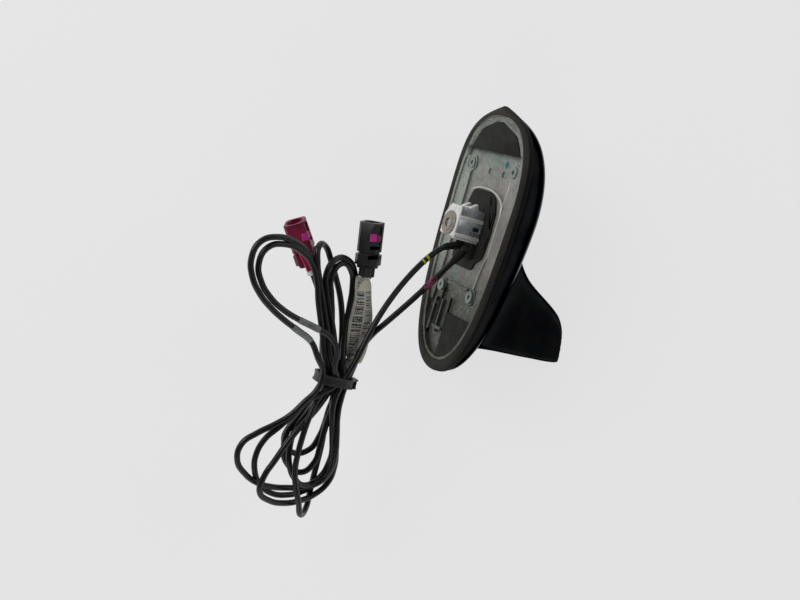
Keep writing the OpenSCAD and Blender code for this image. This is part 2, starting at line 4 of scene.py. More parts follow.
import bmesh
import bpy
import numpy as np
from mathutils import Matrix, Vector


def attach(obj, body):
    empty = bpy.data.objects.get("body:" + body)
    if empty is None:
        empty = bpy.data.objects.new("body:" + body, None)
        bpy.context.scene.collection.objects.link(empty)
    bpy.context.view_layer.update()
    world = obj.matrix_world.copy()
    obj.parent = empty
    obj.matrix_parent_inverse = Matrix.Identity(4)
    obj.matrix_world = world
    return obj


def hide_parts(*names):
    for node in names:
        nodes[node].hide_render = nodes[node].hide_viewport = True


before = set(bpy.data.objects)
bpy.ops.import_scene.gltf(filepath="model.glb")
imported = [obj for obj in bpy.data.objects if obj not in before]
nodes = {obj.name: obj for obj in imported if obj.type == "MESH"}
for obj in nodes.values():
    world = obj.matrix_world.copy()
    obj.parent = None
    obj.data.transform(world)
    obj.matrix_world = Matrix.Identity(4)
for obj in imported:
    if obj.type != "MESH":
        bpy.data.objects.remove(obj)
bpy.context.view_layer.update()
MM = 0.001

# -------- camera, fitted to the photograph, in metres
CAM_PLACE = (0.01733, 0.49535, -0.27936)
CAM_RIGHT = Vector((0.2877, 0.4103, 0.8654)).normalized()
CAM_DOWN = Vector((-0.9521, 0.2200, 0.2122))
CAM_DOWN = (CAM_DOWN - CAM_RIGHT * CAM_DOWN.dot(CAM_RIGHT)).normalized()
CAM_AHEAD = CAM_RIGHT.cross(CAM_DOWN)


def placed(name, data):
    """A new object in the scene."""
    obj = bpy.data.objects.new(name, data)
    bpy.context.scene.collection.objects.link(obj)
    return obj


def make_camera():
    cam = placed("photo_camera", bpy.data.cameras.new("photo_camera"))
    cam.data.sensor_width = 36
    cam.data.lens = 54.72
    cam.data.clip_start = 0.01
    axes = Matrix((CAM_RIGHT, -CAM_DOWN, -CAM_AHEAD)).transposed()
    cam.matrix_world = Matrix.Translation(CAM_PLACE) @ axes.to_4x4()
    bpy.context.scene.camera = cam


make_camera()

# -------- cords: their routes are in tenths of a millimetre
MAGENTA_LEAD = [
    (-106, 36, -24), (-176, 35, -70), (-246, 33, -115), (-315, 32, -160), (-385, 29, -206), (-454, 25, -253),
    (-522, 20, -300), (-591, 13, -346), (-668, 9, -377), (-751, 9, -386), (-833, 14, -399), (-916, 20, -406),
    (-999, 25, -398), (-1079, 30, -378), (-1160, 28, -358), (-1241, 13, -348), (-1317, -13, -367),
    (-1363, -32, -431), (-1381, -36, -512), (-1385, -26, -595), (-1372, -10, -675), (-1336, 2, -749),
    (-1277, 10, -807), (-1198, 16, -811), (-1136, 20, -756), (-1084, 25, -691), (-1026, 34, -633), (-955, 41, -589),
    (-884, 42, -545), (-806, 43, -539), (-740, 45, -588), (-676, 39, -639), (-641, 32, -714), (-608, 29, -791),
    (-569, 29, -865), (-520, 30, -932), (-457, 30, -985), (-379, 30, -1013), (-300, 29, -994), (-261, 31, -922),
    (-265, 29, -840), (-300, 20, -765), (-356, 8, -705), (-424, -1, -658), (-499, -7, -621), (-575, -10, -588),
    (-652, -12, -556), (-727, -13, -519), (-797, -15, -475), (-877, -8, -462), (-952, 9, -493), (-1021, 28, -537),
    (-1088, 43, -583), (-1162, 49, -620), (-1241, 47, -648), (-1320, 43, -674), (-1399, 31, -669), (-1440, 8, -602),
    (-1448, -10, -521), (-1430, -23, -441), (-1390, -33, -369), (-1325, -36, -320), (-1243, -28, -315),
    (-1163, -16, -337), (-1087, -4, -369), (-1013, 8, -405), (-937, 15, -439), (-856, 15, -455), (-779, 14, -488),
    (-707, 16, -529), (-630, 16, -561), (-555, 15, -596), (-480, 17, -634), (-407, 22, -673), (-332, 27, -710),
    (-258, 6, -718), (-257, -48, -662), (-319, -63, -609), (-388, -60, -564), (-461, -52, -524), (-538, -46, -493),
    (-618, -44, -468), (-699, -44, -449), (-781, -44, -434), (-863, -42, -423), (-947, -40, -419),
    (-1030, -39, -422), (-1113, -38, -430), (-1189, -42, -461), (-1214, -45, -536), (-1163, -37, -596),
    (-1082, -34, -587), (-1011, -39, -545), (-935, -42, -510), (-854, -42, -494), (-775, -49, -516),
    (-695, -53, -540), (-614, -58, -558), (-535, -75, -578), (-465, -107, -610), (-398, -126, -654),
]
YELLOW_LEAD = [
    (-91, -40, -23), (-123, -38, -98), (-182, -32, -157), (-247, -22, -207), (-316, -10, -252), (-387, 3, -292),
    (-461, 16, -327), (-538, 28, -356), (-617, 37, -378), (-698, 42, -395), (-778, 43, -417), (-858, 39, -438),
    (-940, 34, -441), (-1020, 27, -420), (-1097, 18, -391), (-1175, 4, -364), (-1254, -15, -354), (-1331, -39, -373),
    (-1393, -56, -424), (-1422, -54, -501), (-1419, -40, -582), (-1382, -25, -654), (-1318, -12, -703),
    (-1239, -1, -723), (-1159, 6, -705), (-1091, 11, -657), (-1022, 22, -614), (-950, 37, -579), (-897, 39, -515),
    (-835, 41, -461), (-767, 55, -499), (-689, 69, -518), (-631, 70, -569), (-608, 55, -648), (-591, 41, -727),
    (-566, 29, -806), (-526, 25, -878), (-469, 25, -938), (-395, 27, -973), (-317, 27, -954), (-285, 24, -879),
    (-297, 22, -798), (-343, 25, -730), (-413, 32, -688), (-491, 35, -659), (-566, 32, -624), (-640, 24, -587),
    (-716, 18, -555), (-787, 14, -512), (-866, 18, -498), (-943, 31, -526), (-1022, 45, -545), (-1104, 50, -551),
    (-1187, 47, -548), (-1269, 40, -535), (-1346, 37, -507), (-1420, 34, -469), (-1485, 6, -430), (-1471, -49, -386),
    (-1389, -56, -386), (-1307, -45, -396), (-1225, -39, -402), (-1142, -37, -408), (-1061, -31, -422),
    (-979, -23, -430), (-896, -17, -424), (-814, -14, -432), (-742, -12, -471), (-666, -10, -504), (-591, -8, -540),
    (-518, -5, -579), (-444, -3, -617), (-366, -3, -642), (-294, -12, -611), (-291, -42, -538), (-341, -70, -479),
    (-414, -85, -443), (-495, -86, -426), (-577, -77, -421), (-658, -62, -423), (-738, -42, -428), (-812, -18, -402),
    (-893, -14, -390), (-976, -16, -387), (-1057, -13, -374), (-1139, -11, -360), (-1222, -14, -356),
    (-1301, -20, -376), (-1351, -20, -437), (-1319, 0, -509), (-1254, 10, -558), (-1174, 6, -578), (-1092, -5, -571),
    (-1016, -14, -540), (-939, -14, -510), (-857, -15, -495), (-775, -21, -494), (-694, -29, -508),
    (-613, -31, -528), (-534, -28, -552), (-457, -21, -583), (-379, -18, -607), (-310, -32, -570), (-338, -57, -503),
    (-414, -61, -473), (-496, -53, -465), (-578, -43, -460), (-659, -27, -453), (-738, -6, -441), (-819, 11, -430),
    (-901, 13, -428), (-984, 7, -432), (-1067, 3, -433), (-1150, 2, -431), (-1232, -2, -434), (-1293, -17, -480),
    (-1265, -31, -552), (-1193, -28, -591), (-1112, -19, -599), (-1036, -25, -567), (-965, -34, -525),
    (-891, -37, -489), (-817, -46, -453), (-753, -48, -402), (-677, -35, -382), (-595, -35, -395), (-513, -35, -409),
    (-431, -35, -421), (-349, -35, -434),
]
CORD_R = 1.4


def cord_curve(name, points):
    """The cord's curve, and the line that it follows, in millimetres."""
    data = bpy.data.curves.new(name, "CURVE")
    data.dimensions = "3D"
    data.resolution_u = 6
    spline = data.splines.new("BEZIER")
    spline.bezier_points.add(len(points) - 1)
    for b, p in zip(spline.bezier_points, points):
        b.co = Vector(p) * MM / 10
        b.handle_left_type = b.handle_right_type = "AUTO"
    obj = placed(name, data)
    bpy.context.view_layer.update()
    line = obj.evaluated_get(bpy.context.evaluated_depsgraph_get()).to_mesh()
    route = np.array([v.co for v in line.vertices]) / MM
    data.bevel_depth = CORD_R * MM
    data.bevel_resolution = 5
    data.use_fill_caps = True
    return obj, route


def along(route):
    """How far along the route each of its points lies."""
    return np.r_[0, np.cumsum(np.linalg.norm(np.diff(route, axis=0), axis=1))]


cord_a, route_a = cord_curve("cord_magenta", MAGENTA_LEAD)
cord_b, route_b = cord_curve("cord_yellow", YELLOW_LEAD)


def stretch(route, start, end, step=0.6):
    """Points along the route between the places nearest to start and end."""
    s = along(route)
    a, b = (s[np.argmin(np.linalg.norm(route - np.array(p), axis=1))] for p in (start, end))
    n = max(4, int(abs(b - a) / step))
    return np.array([[np.interp(t, s, route[:, i]) for i in range(3)] for t in np.linspace(a, b, n)])


# -------- meshes
def shaded(obj, sharp=None):
    """Smooth shading, with edges over so many degrees kept sharp where that is given."""
    obj.data.polygons.foreach_set("use_smooth", [True] * len(obj.data.polygons))
    if sharp:
        obj.data.set_sharp_from_angle(angle=math.radians(sharp))
    return obj


def new_mesh(name, verts, faces, smooth=True):
    """A piece from points in millimetres."""
    mesh = bpy.data.meshes.new(name)
    mesh.from_pydata([tuple(float(c) * MM for c in v) for v in verts], [], faces)
    mesh.update()
    obj = placed(name, mesh)
    return shaded(obj) if smooth else obj


def rings_mesh(name, rings, closed=False, smooth=True):
    """A skin over rings of equal length. Open rows of rings are capped."""
    n, m = len(rings[0]), len(rings)
    verts = [p for r in rings for p in r]
    faces = []
    for k in range(m if closed else m - 1):
        for i in range(n):
            a, b = k * n, ((k + 1) % m) * n
            faces.append((a + i, a + (i + 1) % n, b + (i + 1) % n, b + i))
    if not closed:
        faces.append(tuple(range(n - 1, -1, -1)))
        faces.append(tuple((m - 1) * n + i for i in range(n)))
    obj = new_mesh(name, verts, faces, smooth)
    bm = bmesh.new()
    bm.from_mesh(obj.data)
    bmesh.ops.recalc_face_normals(bm, faces=bm.faces)
    bm.to_mesh(obj.data)
    bm.free()
    return obj


def joined(name, parts):
    """One piece made of several."""
    bm = bmesh.new()
    for part in parts:
        bm.from_mesh(part.data)
        bpy.data.objects.remove(part)
    mesh = bpy.data.meshes.new(name)
    bm.to_mesh(mesh)
    bm.free()
    return placed(name, mesh)


def circle(r, n=20):
    return [(r * math.cos(2 * math.pi * i / n), r * math.sin(2 * math.pi * i / n)) for i in range(n)]


def bulged(v, power):
    """A power that keeps the sign, to square or pinch a circle."""
    return math.copysign(abs(v) ** power, v)


def add_bevel(obj, width, segments=2):
    """Softens the hard edges of a piece, in millimetres."""
    obj.modifiers.new("weld", "WELD").merge_threshold = 1e-6
    mod = obj.modifiers.new("edges", "BEVEL")
    mod.width = width * MM
    mod.segments = segments
    mod.limit_method = "ANGLE"
    mod.angle_limit = math.radians(35)


def applied(obj):
    """Applies all modifiers of a piece of this script."""
    dg = bpy.context.evaluated_depsgraph_get()
    mesh = bpy.data.meshes.new_from_object(obj.evaluated_get(dg))
    obj.modifiers.clear()
    old, obj.data = obj.data, mesh
    bpy.data.meshes.remove(old)
    return obj


def softened(obj, width):
    """Rounds the hard edges for good and shades the piece."""
    add_bevel(obj, width, 3)
    return shaded(applied(obj), 40)


def boolean(obj, other):
    """Cuts the other piece out of this one."""
    mod = obj.modifiers.new("cut", "BOOLEAN")
    mod.operation = "DIFFERENCE"
    mod.solver = "MANIFOLD"
    mod.object = other
    applied(obj)
    bpy.data.objects.remove(other)
    return obj


def block(name, lo, hi):
    """A plain block between two corners."""
    xs, ys, zs = zip(lo, hi)
    ring = [(xs[0], ys[0]), (xs[1], ys[0]), (xs[1], ys[1]), (xs[0], ys[1])]
    return rings_mesh(name, [[(x, y, z) for x, y in ring] for z in zs], smooth=False)


def prism(name, points, lo, hi, across=2):
    """A slab between two heights. across is the axis that it's raised along."""
    rings = [[(*p[:across], h, *p[across:]) for p in points] for h in (lo, hi)]
    return rings_mesh(name, rings, smooth=False)


def pole(name, x, y, r, lo, hi):
    return prism(name, [(x + a, y + b) for a, b in circle(r)], lo, hi)


def rounded(points, radius, steps=4):
    """A closed outline with its corners rounded."""
    out, n = [], len(points)
    for i in range(n):
        p, a, b = (np.array(points[k % n], float) for k in (i, i - 1, i + 1))
        r = min(radius, 0.45 * np.linalg.norm(a - p), 0.45 * np.linalg.norm(b - p))
        u, w = p + (a - p) / np.linalg.norm(a - p) * r, p + (b - p) / np.linalg.norm(b - p) * r
        out += [tuple((1 - t) ** 2 * u + 2 * t * (1 - t) * p + t * t * w) for t in np.linspace(0, 1, steps)]
    return out


# -------- the shell's forms, as in the solids
NOSE, TAIL, HALF_W, WIDE_X = 58.5, 68.7, 33.9, 18.0
RIM_H, RIM_W, RIDGE_H, FIN_T, FIN_RISE, WALL = 3.2, 5.0, 25.1, 8.0, 41.9, 2.0
COVER_INSET, CROWN_X, SKIRT, SIDES = 0.9, 10.0, 2.2, 40
MID_X, HALF_L = (NOSE - TAIL) / 2, (NOSE + TAIL) / 2


def bez(a, b, c, d, t):
    """A point of a cubic curve."""
    return tuple((1 - t) ** 3 * p + 3 * (1 - t) ** 2 * t * q + 3 * (1 - t) * t * t * r + t ** 3 * s
                 for p, q, r, s in zip(a, b, c, d))


def outer_point(t, inset):
    """A point in from the rim's outer edge on the left: t is 0 at the nose, 1 where it's widest, 2 at the tail."""
    if t < 1:
        x, y = bez((NOSE, 0), (NOSE - 6.1, HALF_W * 0.64), (NOSE - 10.1, HALF_W), (WIDE_X, HALF_W), t)
    else:
        x, y = bez((WIDE_X, HALF_W), (WIDE_X - 48, HALF_W), (-TAIL, HALF_W * 0.86), (-TAIL, 0), t - 1)
    return MID_X + (x - MID_X) * (HALF_L - inset) / HALF_L, y * (HALF_W - inset) / HALF_W


def inner_point(t, inset):
    """A point on the rim's inner edge or further in, which is round at the nose."""
    if t >= 1:
        x, y = outer_point(t, inset)
        return x, y + 0.7 * max(0, (x + 20) / (WIDE_X + 20)) ** 2
    r = inset - RIM_W
    return bez((53.7 - r, 0), (53.7 - r, 14 - r * 0.6), (49 - r, HALF_W - 4.3 - r), inner_point(1, inset), t)


def outline(inset, n):
    """The plan outline, closed, from the nose round the left side."""
    point = inner_point if inset > 3.9 else outer_point
    half = [point(2 * i / n, inset) for i in range(n + 1)]
    return half + [(x, -y) for x, y in half[-2:0:-1]]


def ridge(x, inset):
    """The body's crown along its middle, over the rim."""
    top = RIDGE_H - RIM_H - inset
    if x > CROWN_X:
        v = min(1, (x - CROWN_X) / (NOSE - 1.8 - inset - CROWN_X))
        return top * (1 - v * v) ** 0.56
    v = min(1, (CROWN_X - x) / (CROWN_X + TAIL + 3 - inset))
    return top * (1 - v ** 1.3) ** 0.49


def body_ring(t, inset):
    x, y = outer_point(t, COVER_INSET + inset)
    h = max(0.4, ridge(x, inset))
    arch = [math.pi * i / SIDES for i in range(SIDES + 1)]
    ring = [(x, y * math.cos(a), RIM_H + h * math.sin(a)) for a in arch]
    return ring + [(x, -y, RIM_H - SKIRT), (x, y, RIM_H - SKIRT)]


# The fin's sections: x and z at its front, x and z at its rear
FIN_ROWS = [(13, 22.7, -57.2, 7.5), (10.5, 24.4, -55.9, 11.5), (7, 25.6, -55.2, 14.2), (2.5, 26.9, -54.7, 17),
            (-2.2, 28.3, -54.3, 19.8), (-6.4, 30, -54, 22.8), (-10.4, 32.6, -53.8, 26.4), (-14, 35.9, -53.6, 30.6),
            (-17.3, 40, -53.5, 35.4), (-20.6, 45.6, -53.4, 41), (-23.7, 51.4, -53.3, 47),
            (-26.4, 56.2, -53.1, 52.6), (-29.2, 60.3, -53, 57.8), (-32, 62.8, -52.8, 61.8),
            (-35.4, 64.5, -52.6, 64.4), (-39.6, 65.6, -52.3, 65.9), (-44.2, 66.4, -52, 66.7),
            (-47.8, 67, -51.6, 67)]
# Along each section: share of its depth, a shift in fortieths of it, share of the thickness
FIN_STATIONS = [(0, 0, 0.34), (0, 0.5, 0.66), (0, 1.6, 0.86), (0, 3.2, 1), (0.24, 0, 1), (0.38, 0, 1),
                (0.52, 0, 1), (0.66, 0, 1), (1, -8, 1), (1, -5.2, 0.93), (1, -2.9, 0.77), (1, -1.2, 0.5),
                (1, 0, 0.13)]


def fin_half(x, z):
    """Half the fin's thickness, which flares out at its root."""
    top = min(1, max(0, (z - RIDGE_H) / FIN_RISE))
    foot = min(1, max(0, (x + 55) / 60))
    return (FIN_T / 2 * (1 - 0.28 * top)
            + (7.5 - 5.5 * foot) * math.exp(-max(0, z - RIM_H - ridge(min(x, 56), 0) + 0.6) / 3.4))


def fin_ring(row, inset):
    x0 = row[2] + inset
    x1 = max(row[0] - inset * 1.6, x0 + 1)
    side = []
    for share, off, thick in FIN_STATIONS:
        x = x0 + (x1 - x0) * (share + off / 40)
        z = row[3] + (row[1] - row[3]) * (x - x0) / (x1 - x0)
        side.append((x, thick * max(0.5, fin_half(x, z) - inset), z - inset))
    return side + [(x, -y, z) for x, y, z in side[::-1]]


def curved(rows, times, closed=False):
    """More rows on a smooth curve through the given ones (Catmull-Rom)."""
    p = np.array(rows, float)
    n = len(p)
    out = []
    for k in range(n if closed else n - 1):
        i = [(k + j) % n if closed else min(max(k + j, 0), n - 1) for j in (-1, 0, 1, 2)]
        a, b, c, d = (p[j] for j in i)
        for s in range(times):
            t = s / times
            out.append(0.5 * (2 * b + (c - a) * t + (2 * a - 5 * b + 4 * c - d) * t * t
                              + (3 * b - a - 3 * c + d) * t ** 3))
    if not closed:
        out.append(p[-1])
    return np.array(out)


def shell_form(name, inset, steps, voxel):
    """The body and the fin as one closed skin, remeshed."""
    ts = [min(1.996, max(0.004, 2 * i / steps)) for i in range(steps + 1)]
    body = rings_mesh(name + "_body", [body_ring(t, inset) for t in ts])
    fin = curved([fin_ring(row, inset) for row in FIN_ROWS], 5)
    fin = rings_mesh(name + "_fin", [curved(ring, 3, closed=True) for ring in fin])
    form = joined(name, [body, fin])
    mod = form.modifiers.new("voxels", "REMESH")
    mod.mode = "VOXEL"
    mod.voxel_size = voxel * MM
    return applied(form)


def coords(mesh):
    co = np.zeros(len(mesh.vertices) * 3)
    mesh.vertices.foreach_get("co", co)
    return co.reshape(-1, 3)


def smoothed(obj, rounds, root_rounds=0):
    """Evens out the voxel steps, and then the fin's root more than the rest."""
    mesh = obj.data
    co = coords(mesh)
    n = len(co)
    edges = np.zeros(len(mesh.edges) * 2, np.int64)
    mesh.edges.foreach_get("vertices", edges)
    edges = edges.reshape(-1, 2)
    a, b = np.r_[edges[:, 0], edges[:, 1]], np.r_[edges[:, 1], edges[:, 0]]
    count = np.bincount(a, minlength=n)[:, None]

    def relaxed(p):
        return np.stack([np.bincount(a, weights=p[b, i], minlength=n) for i in range(3)], 1) / count

    for _ in range(rounds):
        co = co + 0.5 * (relaxed(co) - co)
        co = co - 0.53 * (relaxed(co) - co)
    if root_rounds:
        x, y, z = co.T / MM
        top = np.array([ridge(min(v, 56), 0) for v in x]) + RIM_H
        weight = np.clip(1 - np.abs(z - top - 1) / 6, 0, 1) * np.clip((14 - np.abs(y)) / 4, 0, 1)
        weight = weight * np.clip((16 - x) / 6, 0, 1) * np.clip((x + 54) / 4, 0, 1)
        for _ in range(root_rounds):
            co = co + 0.5 * weight[:, None] * (relaxed(co) - co)
    mesh.vertices.foreach_set("co", co.ravel())
    mesh.update()
    return shaded(obj)


SAG, SAG_FROM, SAG_REACH = 3.16, 12, 46


def sag(x):
    """How far the roof's curve carries the nose down."""
    return SAG * (np.maximum(0, x - SAG_FROM) / SAG_REACH) ** 2


def bend(obj):
    co = coords(obj.data)
    co[:, 2] -= sag(co[:, 0] / MM) * MM
    obj.data.vertices.foreach_set("co", co.ravel())
    obj.data.update()
    return obj


cover = smoothed(shell_form("cover_shell", 0, 120, 0.62), 14, 40)
boolean(cover, smoothed(shell_form("inner_form", WALL, 60, 1.1), 4))
boolean(cover, block("below", (-90, -50, -5), (80, 50, RIM_H)))
shaded(bend(cover))

# Rubber rim: section from the inner top corner down, under and up the flank, as (inset, z)
RIM_SECTION = [(5, 3.2), (5, 0.75), (4.9, 0.35), (4.6, 0.08), (4.2, 0), (1.7, 0), (1.3, 0.06), (0.9, 0.3),
               (0.6, 0.42), (0.3, 0.5), (0.08, 0.72), (0, 1.0), (0, 2.8), (0.1, 3.05), (0.35, 3.2)]


def make_rim(n=110):
    loops = [outline(inset, n) for inset, _ in RIM_SECTION]
    rings = [[(*loop[i], z) for loop, (_, z) in zip(loops, RIM_SECTION)] for i in range(2 * n)]
    return bend(rings_mesh("gasket_rim", rings, closed=True))


rim = make_rim()

# The casting's lower face, its low lip's zone, and its edge in the solids and along the rim
PLATE_Z, LIP_FRONT, LIP_REAR, LIP_SIDE = 2.4, 25.2, -20.2, 14.8
EDGE_OLD, EDGE_NEW = (np.array([point(t / 100, RIM_W + 0.1) for t in range(0, 160)])
                      for point in (outer_point, inner_point))


def fitted(v):
    """A point of the casting, with its edge moved out to the rim and the low lip taken down."""
    x, y, z = v
    if LIP_REAR < x < LIP_FRONT and abs(y) < LIP_SIDE and 0.6 < z < 2.39 and max(abs(x), abs(y)) > 4:
        z = PLATE_Z
    if -19 < x < 51:
        old, wide = (float(np.interp(x, w[::-1, 0], w[::-1, 1])) for w in (EDGE_OLD, EDGE_NEW))
        old = max(old, 6)
        share = min(1, max(0, (abs(y) / old - 0.72) / 0.18))
        y *= 1 + (min(wide / old, 1.3) - 1) * share * min(1, (51 - x) / 4)
    return x, y, z


def make_plate():
    """The casting, with its edge fitted to the rim and its nose bent along the roof."""
    bm = bmesh.new()
    bm.from_mesh(nodes["base_plate"].data)
    bmesh.ops.remove_doubles(bm, verts=bm.verts, dist=1e-6)
    for x in range(13, 60, 3):
        bmesh.ops.bisect_plane(bm, geom=[*bm.verts, *bm.edges, *bm.faces], plane_co=(x * MM, 0, 0),
                               plane_no=(1, 0, 0))
    verts = [fitted(v.co / MM) for v in bm.verts]
    bm.verts.index_update()
    obj = new_mesh("base_casting", verts, [[v.index for v in f.verts] for f in bm.faces])
    bm.free()
    return shaded(bend(obj), 32)


plate = make_plate()


def make_nose_pad():
    edge = [p for p in (inner_point(t / 60, 8.0) for t in range(1, 61)) if p[0] > 37.6]
    edge.append((37.3, edge[-1][1] + 0.15))
    rings = [[(x, y, 2.5), (x, y, 0.8), (x, y - 0.35, 0.5), (x, -y + 0.35, 0.5), (x, -y, 0.8), (x, -y, 2.5)]
             for x, y in edge[::-1]]
    return shaded(bend(rings_mesh("nose_pad_bent", rings)), 50)


pad_nose = make_nose_pad()


def make_post_pad():
    pts = rounded([(17.6, -12.2), (18.9, -4.4), (18.9, 4.5), (16.4, 10), (10.1, 13.6), (1.4, 14.5), (-6, 14.4),
                   (-11.5, 13.6), (-14.8, 8.6), (-18.5, 7.1), (-18.4, -10), (-15, -14), (10.7, -14.5)], 1.6)
    obj = prism("post_pad_moulded", pts, 1.5, 2.4)
    boolean(obj, block("port", (-13.7, -6.7, 1), (3.9, 6.7, 3)))
    for k, slot in enumerate(([(17, 5.4), (16.2, 7.2), (12.8, 8.8), (12.4, 7.4)],
                              [(10.2, 12.4), (9.8, 13.2), (3, 13.5), (2.6, 12.1)],
                              [(-1.6, 13), (-2, 14), (-7.4, 13.8), (-7.2, 12.4)])):
        boolean(obj, prism("slot%d" % k, slot, 1, 3))
    return softened(obj, 0.18)


pad_post = make_post_pad()


def bar(name, points, z, width, height):
    """A low rounded rib along a line on the casting."""
    path = curved([(x, y, z) for x, y in points], 5)
    section = [(-width / 2, 0), (-width / 2, height * 0.7), (-width * 0.3, height), (width * 0.3, height),
               (width / 2, height * 0.7), (width / 2, 0)]
    t = np.gradient(path, axis=0)
    t /= np.linalg.norm(t, axis=1)[:, None]
    side = np.cross(t, (0, 0, 1))
    return rings_mesh(name, [[p + s * a + np.array((0, 0, -h)) for a, h in section] for p, s in zip(path, side)])


lip = joined("casting_lip", [
    bar("l1", [(17.9, -12.8), (19.5, -8), (19.9, -2), (19.7, 3.5), (18.9, 8.4), (17.4, 12.8), (15.4, 16.2),
               (12.6, 18.2), (8.5, 18.8), (2, 18.9), (-5, 18.9), (-8.6, 18.9)], 2.5, 1.1, 1.5),
    bar("l2", [(25.4, 18.9), (20, 18.8), (13.4, 18.4)], 2.5, 0.9, 1.3),
    bar("l3", [(-8.4, 18.8), (-11, 17.2), (-15, 15.9), (-20, 15), (-26, 14.2), (-30, 13.8)], 2.5, 0.8, 0.9)])


def make_rim_line():
    """The lighter inner edge of the rubber rim."""
    near_side = [inner_point(t / 20, 4.95) for t in range(1, 34)]
    path = [(x, -y) for x, y in near_side[::-1]] + near_side
    return bend(bar("rim_line", path, 0.62, 0.42, 0.35))


rim_line = make_rim_line()
tail_parts = joined("tail_parts", [block(name, lo, hi) for name, lo, hi in (
    ("channel", (-54.4, -19.0, 0.9), (-41.6, -15.6, 1.7)), ("gap", (-39.5, -20.4, 0.9), (-37.9, -10.6, 1.9)),
    ("slit", (-48.8, -10.8, 0.9), (-30.5, -9.9, 1.9)), ("slit_far", (-48.8, -1.6, 0.9), (-34.0, -0.9, 1.9)))])


def make_claw():
    """The folded bracket, and its edges, bottom and teeth as a piece of their own in a whiter steel: a painted
    highlight.
    """
    wall = block("w", (-4.4, 5.8, -12), (3.6, 7, 1.1))
    boolean(wall, block("window", (-0.9, 5, -3.4), (1, 8, 0.2)))
    flange = prism("f", rounded([(4.9, -10.6), (8.9, -10.2), (8.9, 0.9), (4.9, 1.0)], 1.3), 5.3, 6.6, 1)
    parts = [wall, flange, block("rear", (-5.5, -6.4, -12), (-4.5, 6.4, 0.9)),
             block("far", (-4.6, -7, -12), (3.9, -5.9, 0.9)), block("front", (7.9, -2.6, -12), (9, 5.6, -2.2))]
    highlit = [prism("bottom", [(9, -3.2), (9, 6.9), (-5.2, 6.9), (-5.2, -7), (4, -7)], -12.2, -11.1)]
    for k, y in enumerate((-3.6, 0.0, 3.6)):
        tooth = [(7.9, -2.2), (7.9, -6.4), (9.4, -6.4), (11.6 - (k == 1) * 1.6, -3.2), (9.4, -2.2)]
        highlit.append(prism("t%d" % k, tooth, y - 1.5, y + 1.5, 1))
    parts.append(prism("under", [(8.6, -10), (5, -10), (5, 0.6), (8.6, 0.6)], 4.5, 5.4, 1))
    highlit += [pole("ridge_a", 4.0, 6.5, 1.0, -11.9, 1.0), pole("ridge_b", -4.2, 6.5, 1.05, -12.1, 1.3),
             block("edge", (-6.3, 4.4, -11.6), (-5.5, 6.5, 1.4)), block("side", (-4.2, 6.2, -12.1), (4, 7.2, -11.3))]
    return softened(joined("claw_folded", parts), 0.28), softened(joined("claw_highlit_parts", highlit), 0.2)


claw, claw_highlit_parts = make_claw()


def make_bolt(n=48):
    """The clamp bolt: a thin dished flange with a hexagon socket."""
    profile = ((2.4, 2.3), (2.4, -11.4), (5.5, -12.25), (5.75, -12.4), (5.75, -12.7), (5.5, -12.9), (4.2, -12.95),
               (3.9, -13.3), (3.3, -13.4))
    rings = [[(x, y - 0.3, z) for x, y in circle(r, n)] for r, z in profile]
    flats = [math.cos(math.radians(360 * i / n % 60 - 30)) for i in range(n)]
    rings += [[(x / w, y / w - 0.3, z) for (x, y), w in zip(circle(2.05, n), flats)] for z in (-13.3, -12.0)]
    return shaded(rings_mesh("bolt_flanged", rings), 35)


bolt = make_bolt()


def make_band():
    """The casting's edge between the rim and the nose pad. The section runs from the rim inward, as (share, z)."""
    section, rings = [(0, 2.6), (0, 0.7), (0.15, 0.5), (0.85, 0.62), (1, 0.95), (1, 2.6)], []
    for k in range(-48, 49):
        t, side = abs(k) / 60, 1 if k >= 0 else -1
        (xo, yo), (xi, yi) = (inner_point(t, i) for i in (5.15, 7.9 - max(0, t - 0.55) * 4))
        rings.append([(xo + (xi - xo) * s, side * (yo + (yi - yo) * s), z) for s, z in section])
    return shaded(bend(rings_mesh("nose_band", rings)), 50)


nose_band = make_band()


# -------- pieces on the cords
SLEEVE_R, DRAWN_IN = CORD_R + 0.16, 0.25


def tube_on(name, route, start, end, radius):
    """A sleeve on a cord, with slightly drawn-in ends. radius is a number or a function of the share."""
    path = stretch(route, start, end)
    side, rings, last = np.array((0.0, 1.0, 0.0)), [], len(path) - 1
    for k, ahead in enumerate(np.gradient(path, axis=0)):
        ahead = ahead / np.linalg.norm(ahead)
        side = side - ahead * side.dot(ahead)
        side /= np.linalg.norm(side)
        r = (radius(k / last) if callable(radius) else radius) - (DRAWN_IN if k in (0, last) else 0)
        rings.append([path[k] + a * side + b * np.cross(ahead, side) for a, b in circle(r, 24)])
    return rings_mesh(name, rings)


yellow_marks = [tube_on("yellow_mark_" + n, route_b, a, b, SLEEVE_R) for n, a, b in
                (("upper", (-18.1, -3.2, -15.7), (-19.5, -3, -16.9)),
                 ("lower", (-20.2, -2.9, -17.4), (-21.8, -2.7, -18.5)))]
magenta_mark = tube_on("magenta_mark", route_a, (-25.4, 3.3, -11.9), (-32.4, 3.2, -16.5), CORD_R + 0.13)
sleeve_a = tube_on("grey_sleeve_outer", route_a, (-63.1, 3.0, -74.6), (-67.6, 3.9, -64.2), SLEEVE_R)
sleeve_b = tube_on("grey_sleeve_inner", route_b, (-59.0, 3.8, -72.7), (-61.2, 6.2, -62.2), SLEEVE_R)


def relief(name, route, start, end, r0, r1=1.5):
    """A tapered rubber spout with three fine rings round it."""
    def size(share):
        ripple = 0.12 * max(0, math.sin(share * 6 * math.pi)) ** 2
        return r0 + (r1 - r0) * share ** 0.8 + ripple
    return tube_on(name, route, start, end, size)


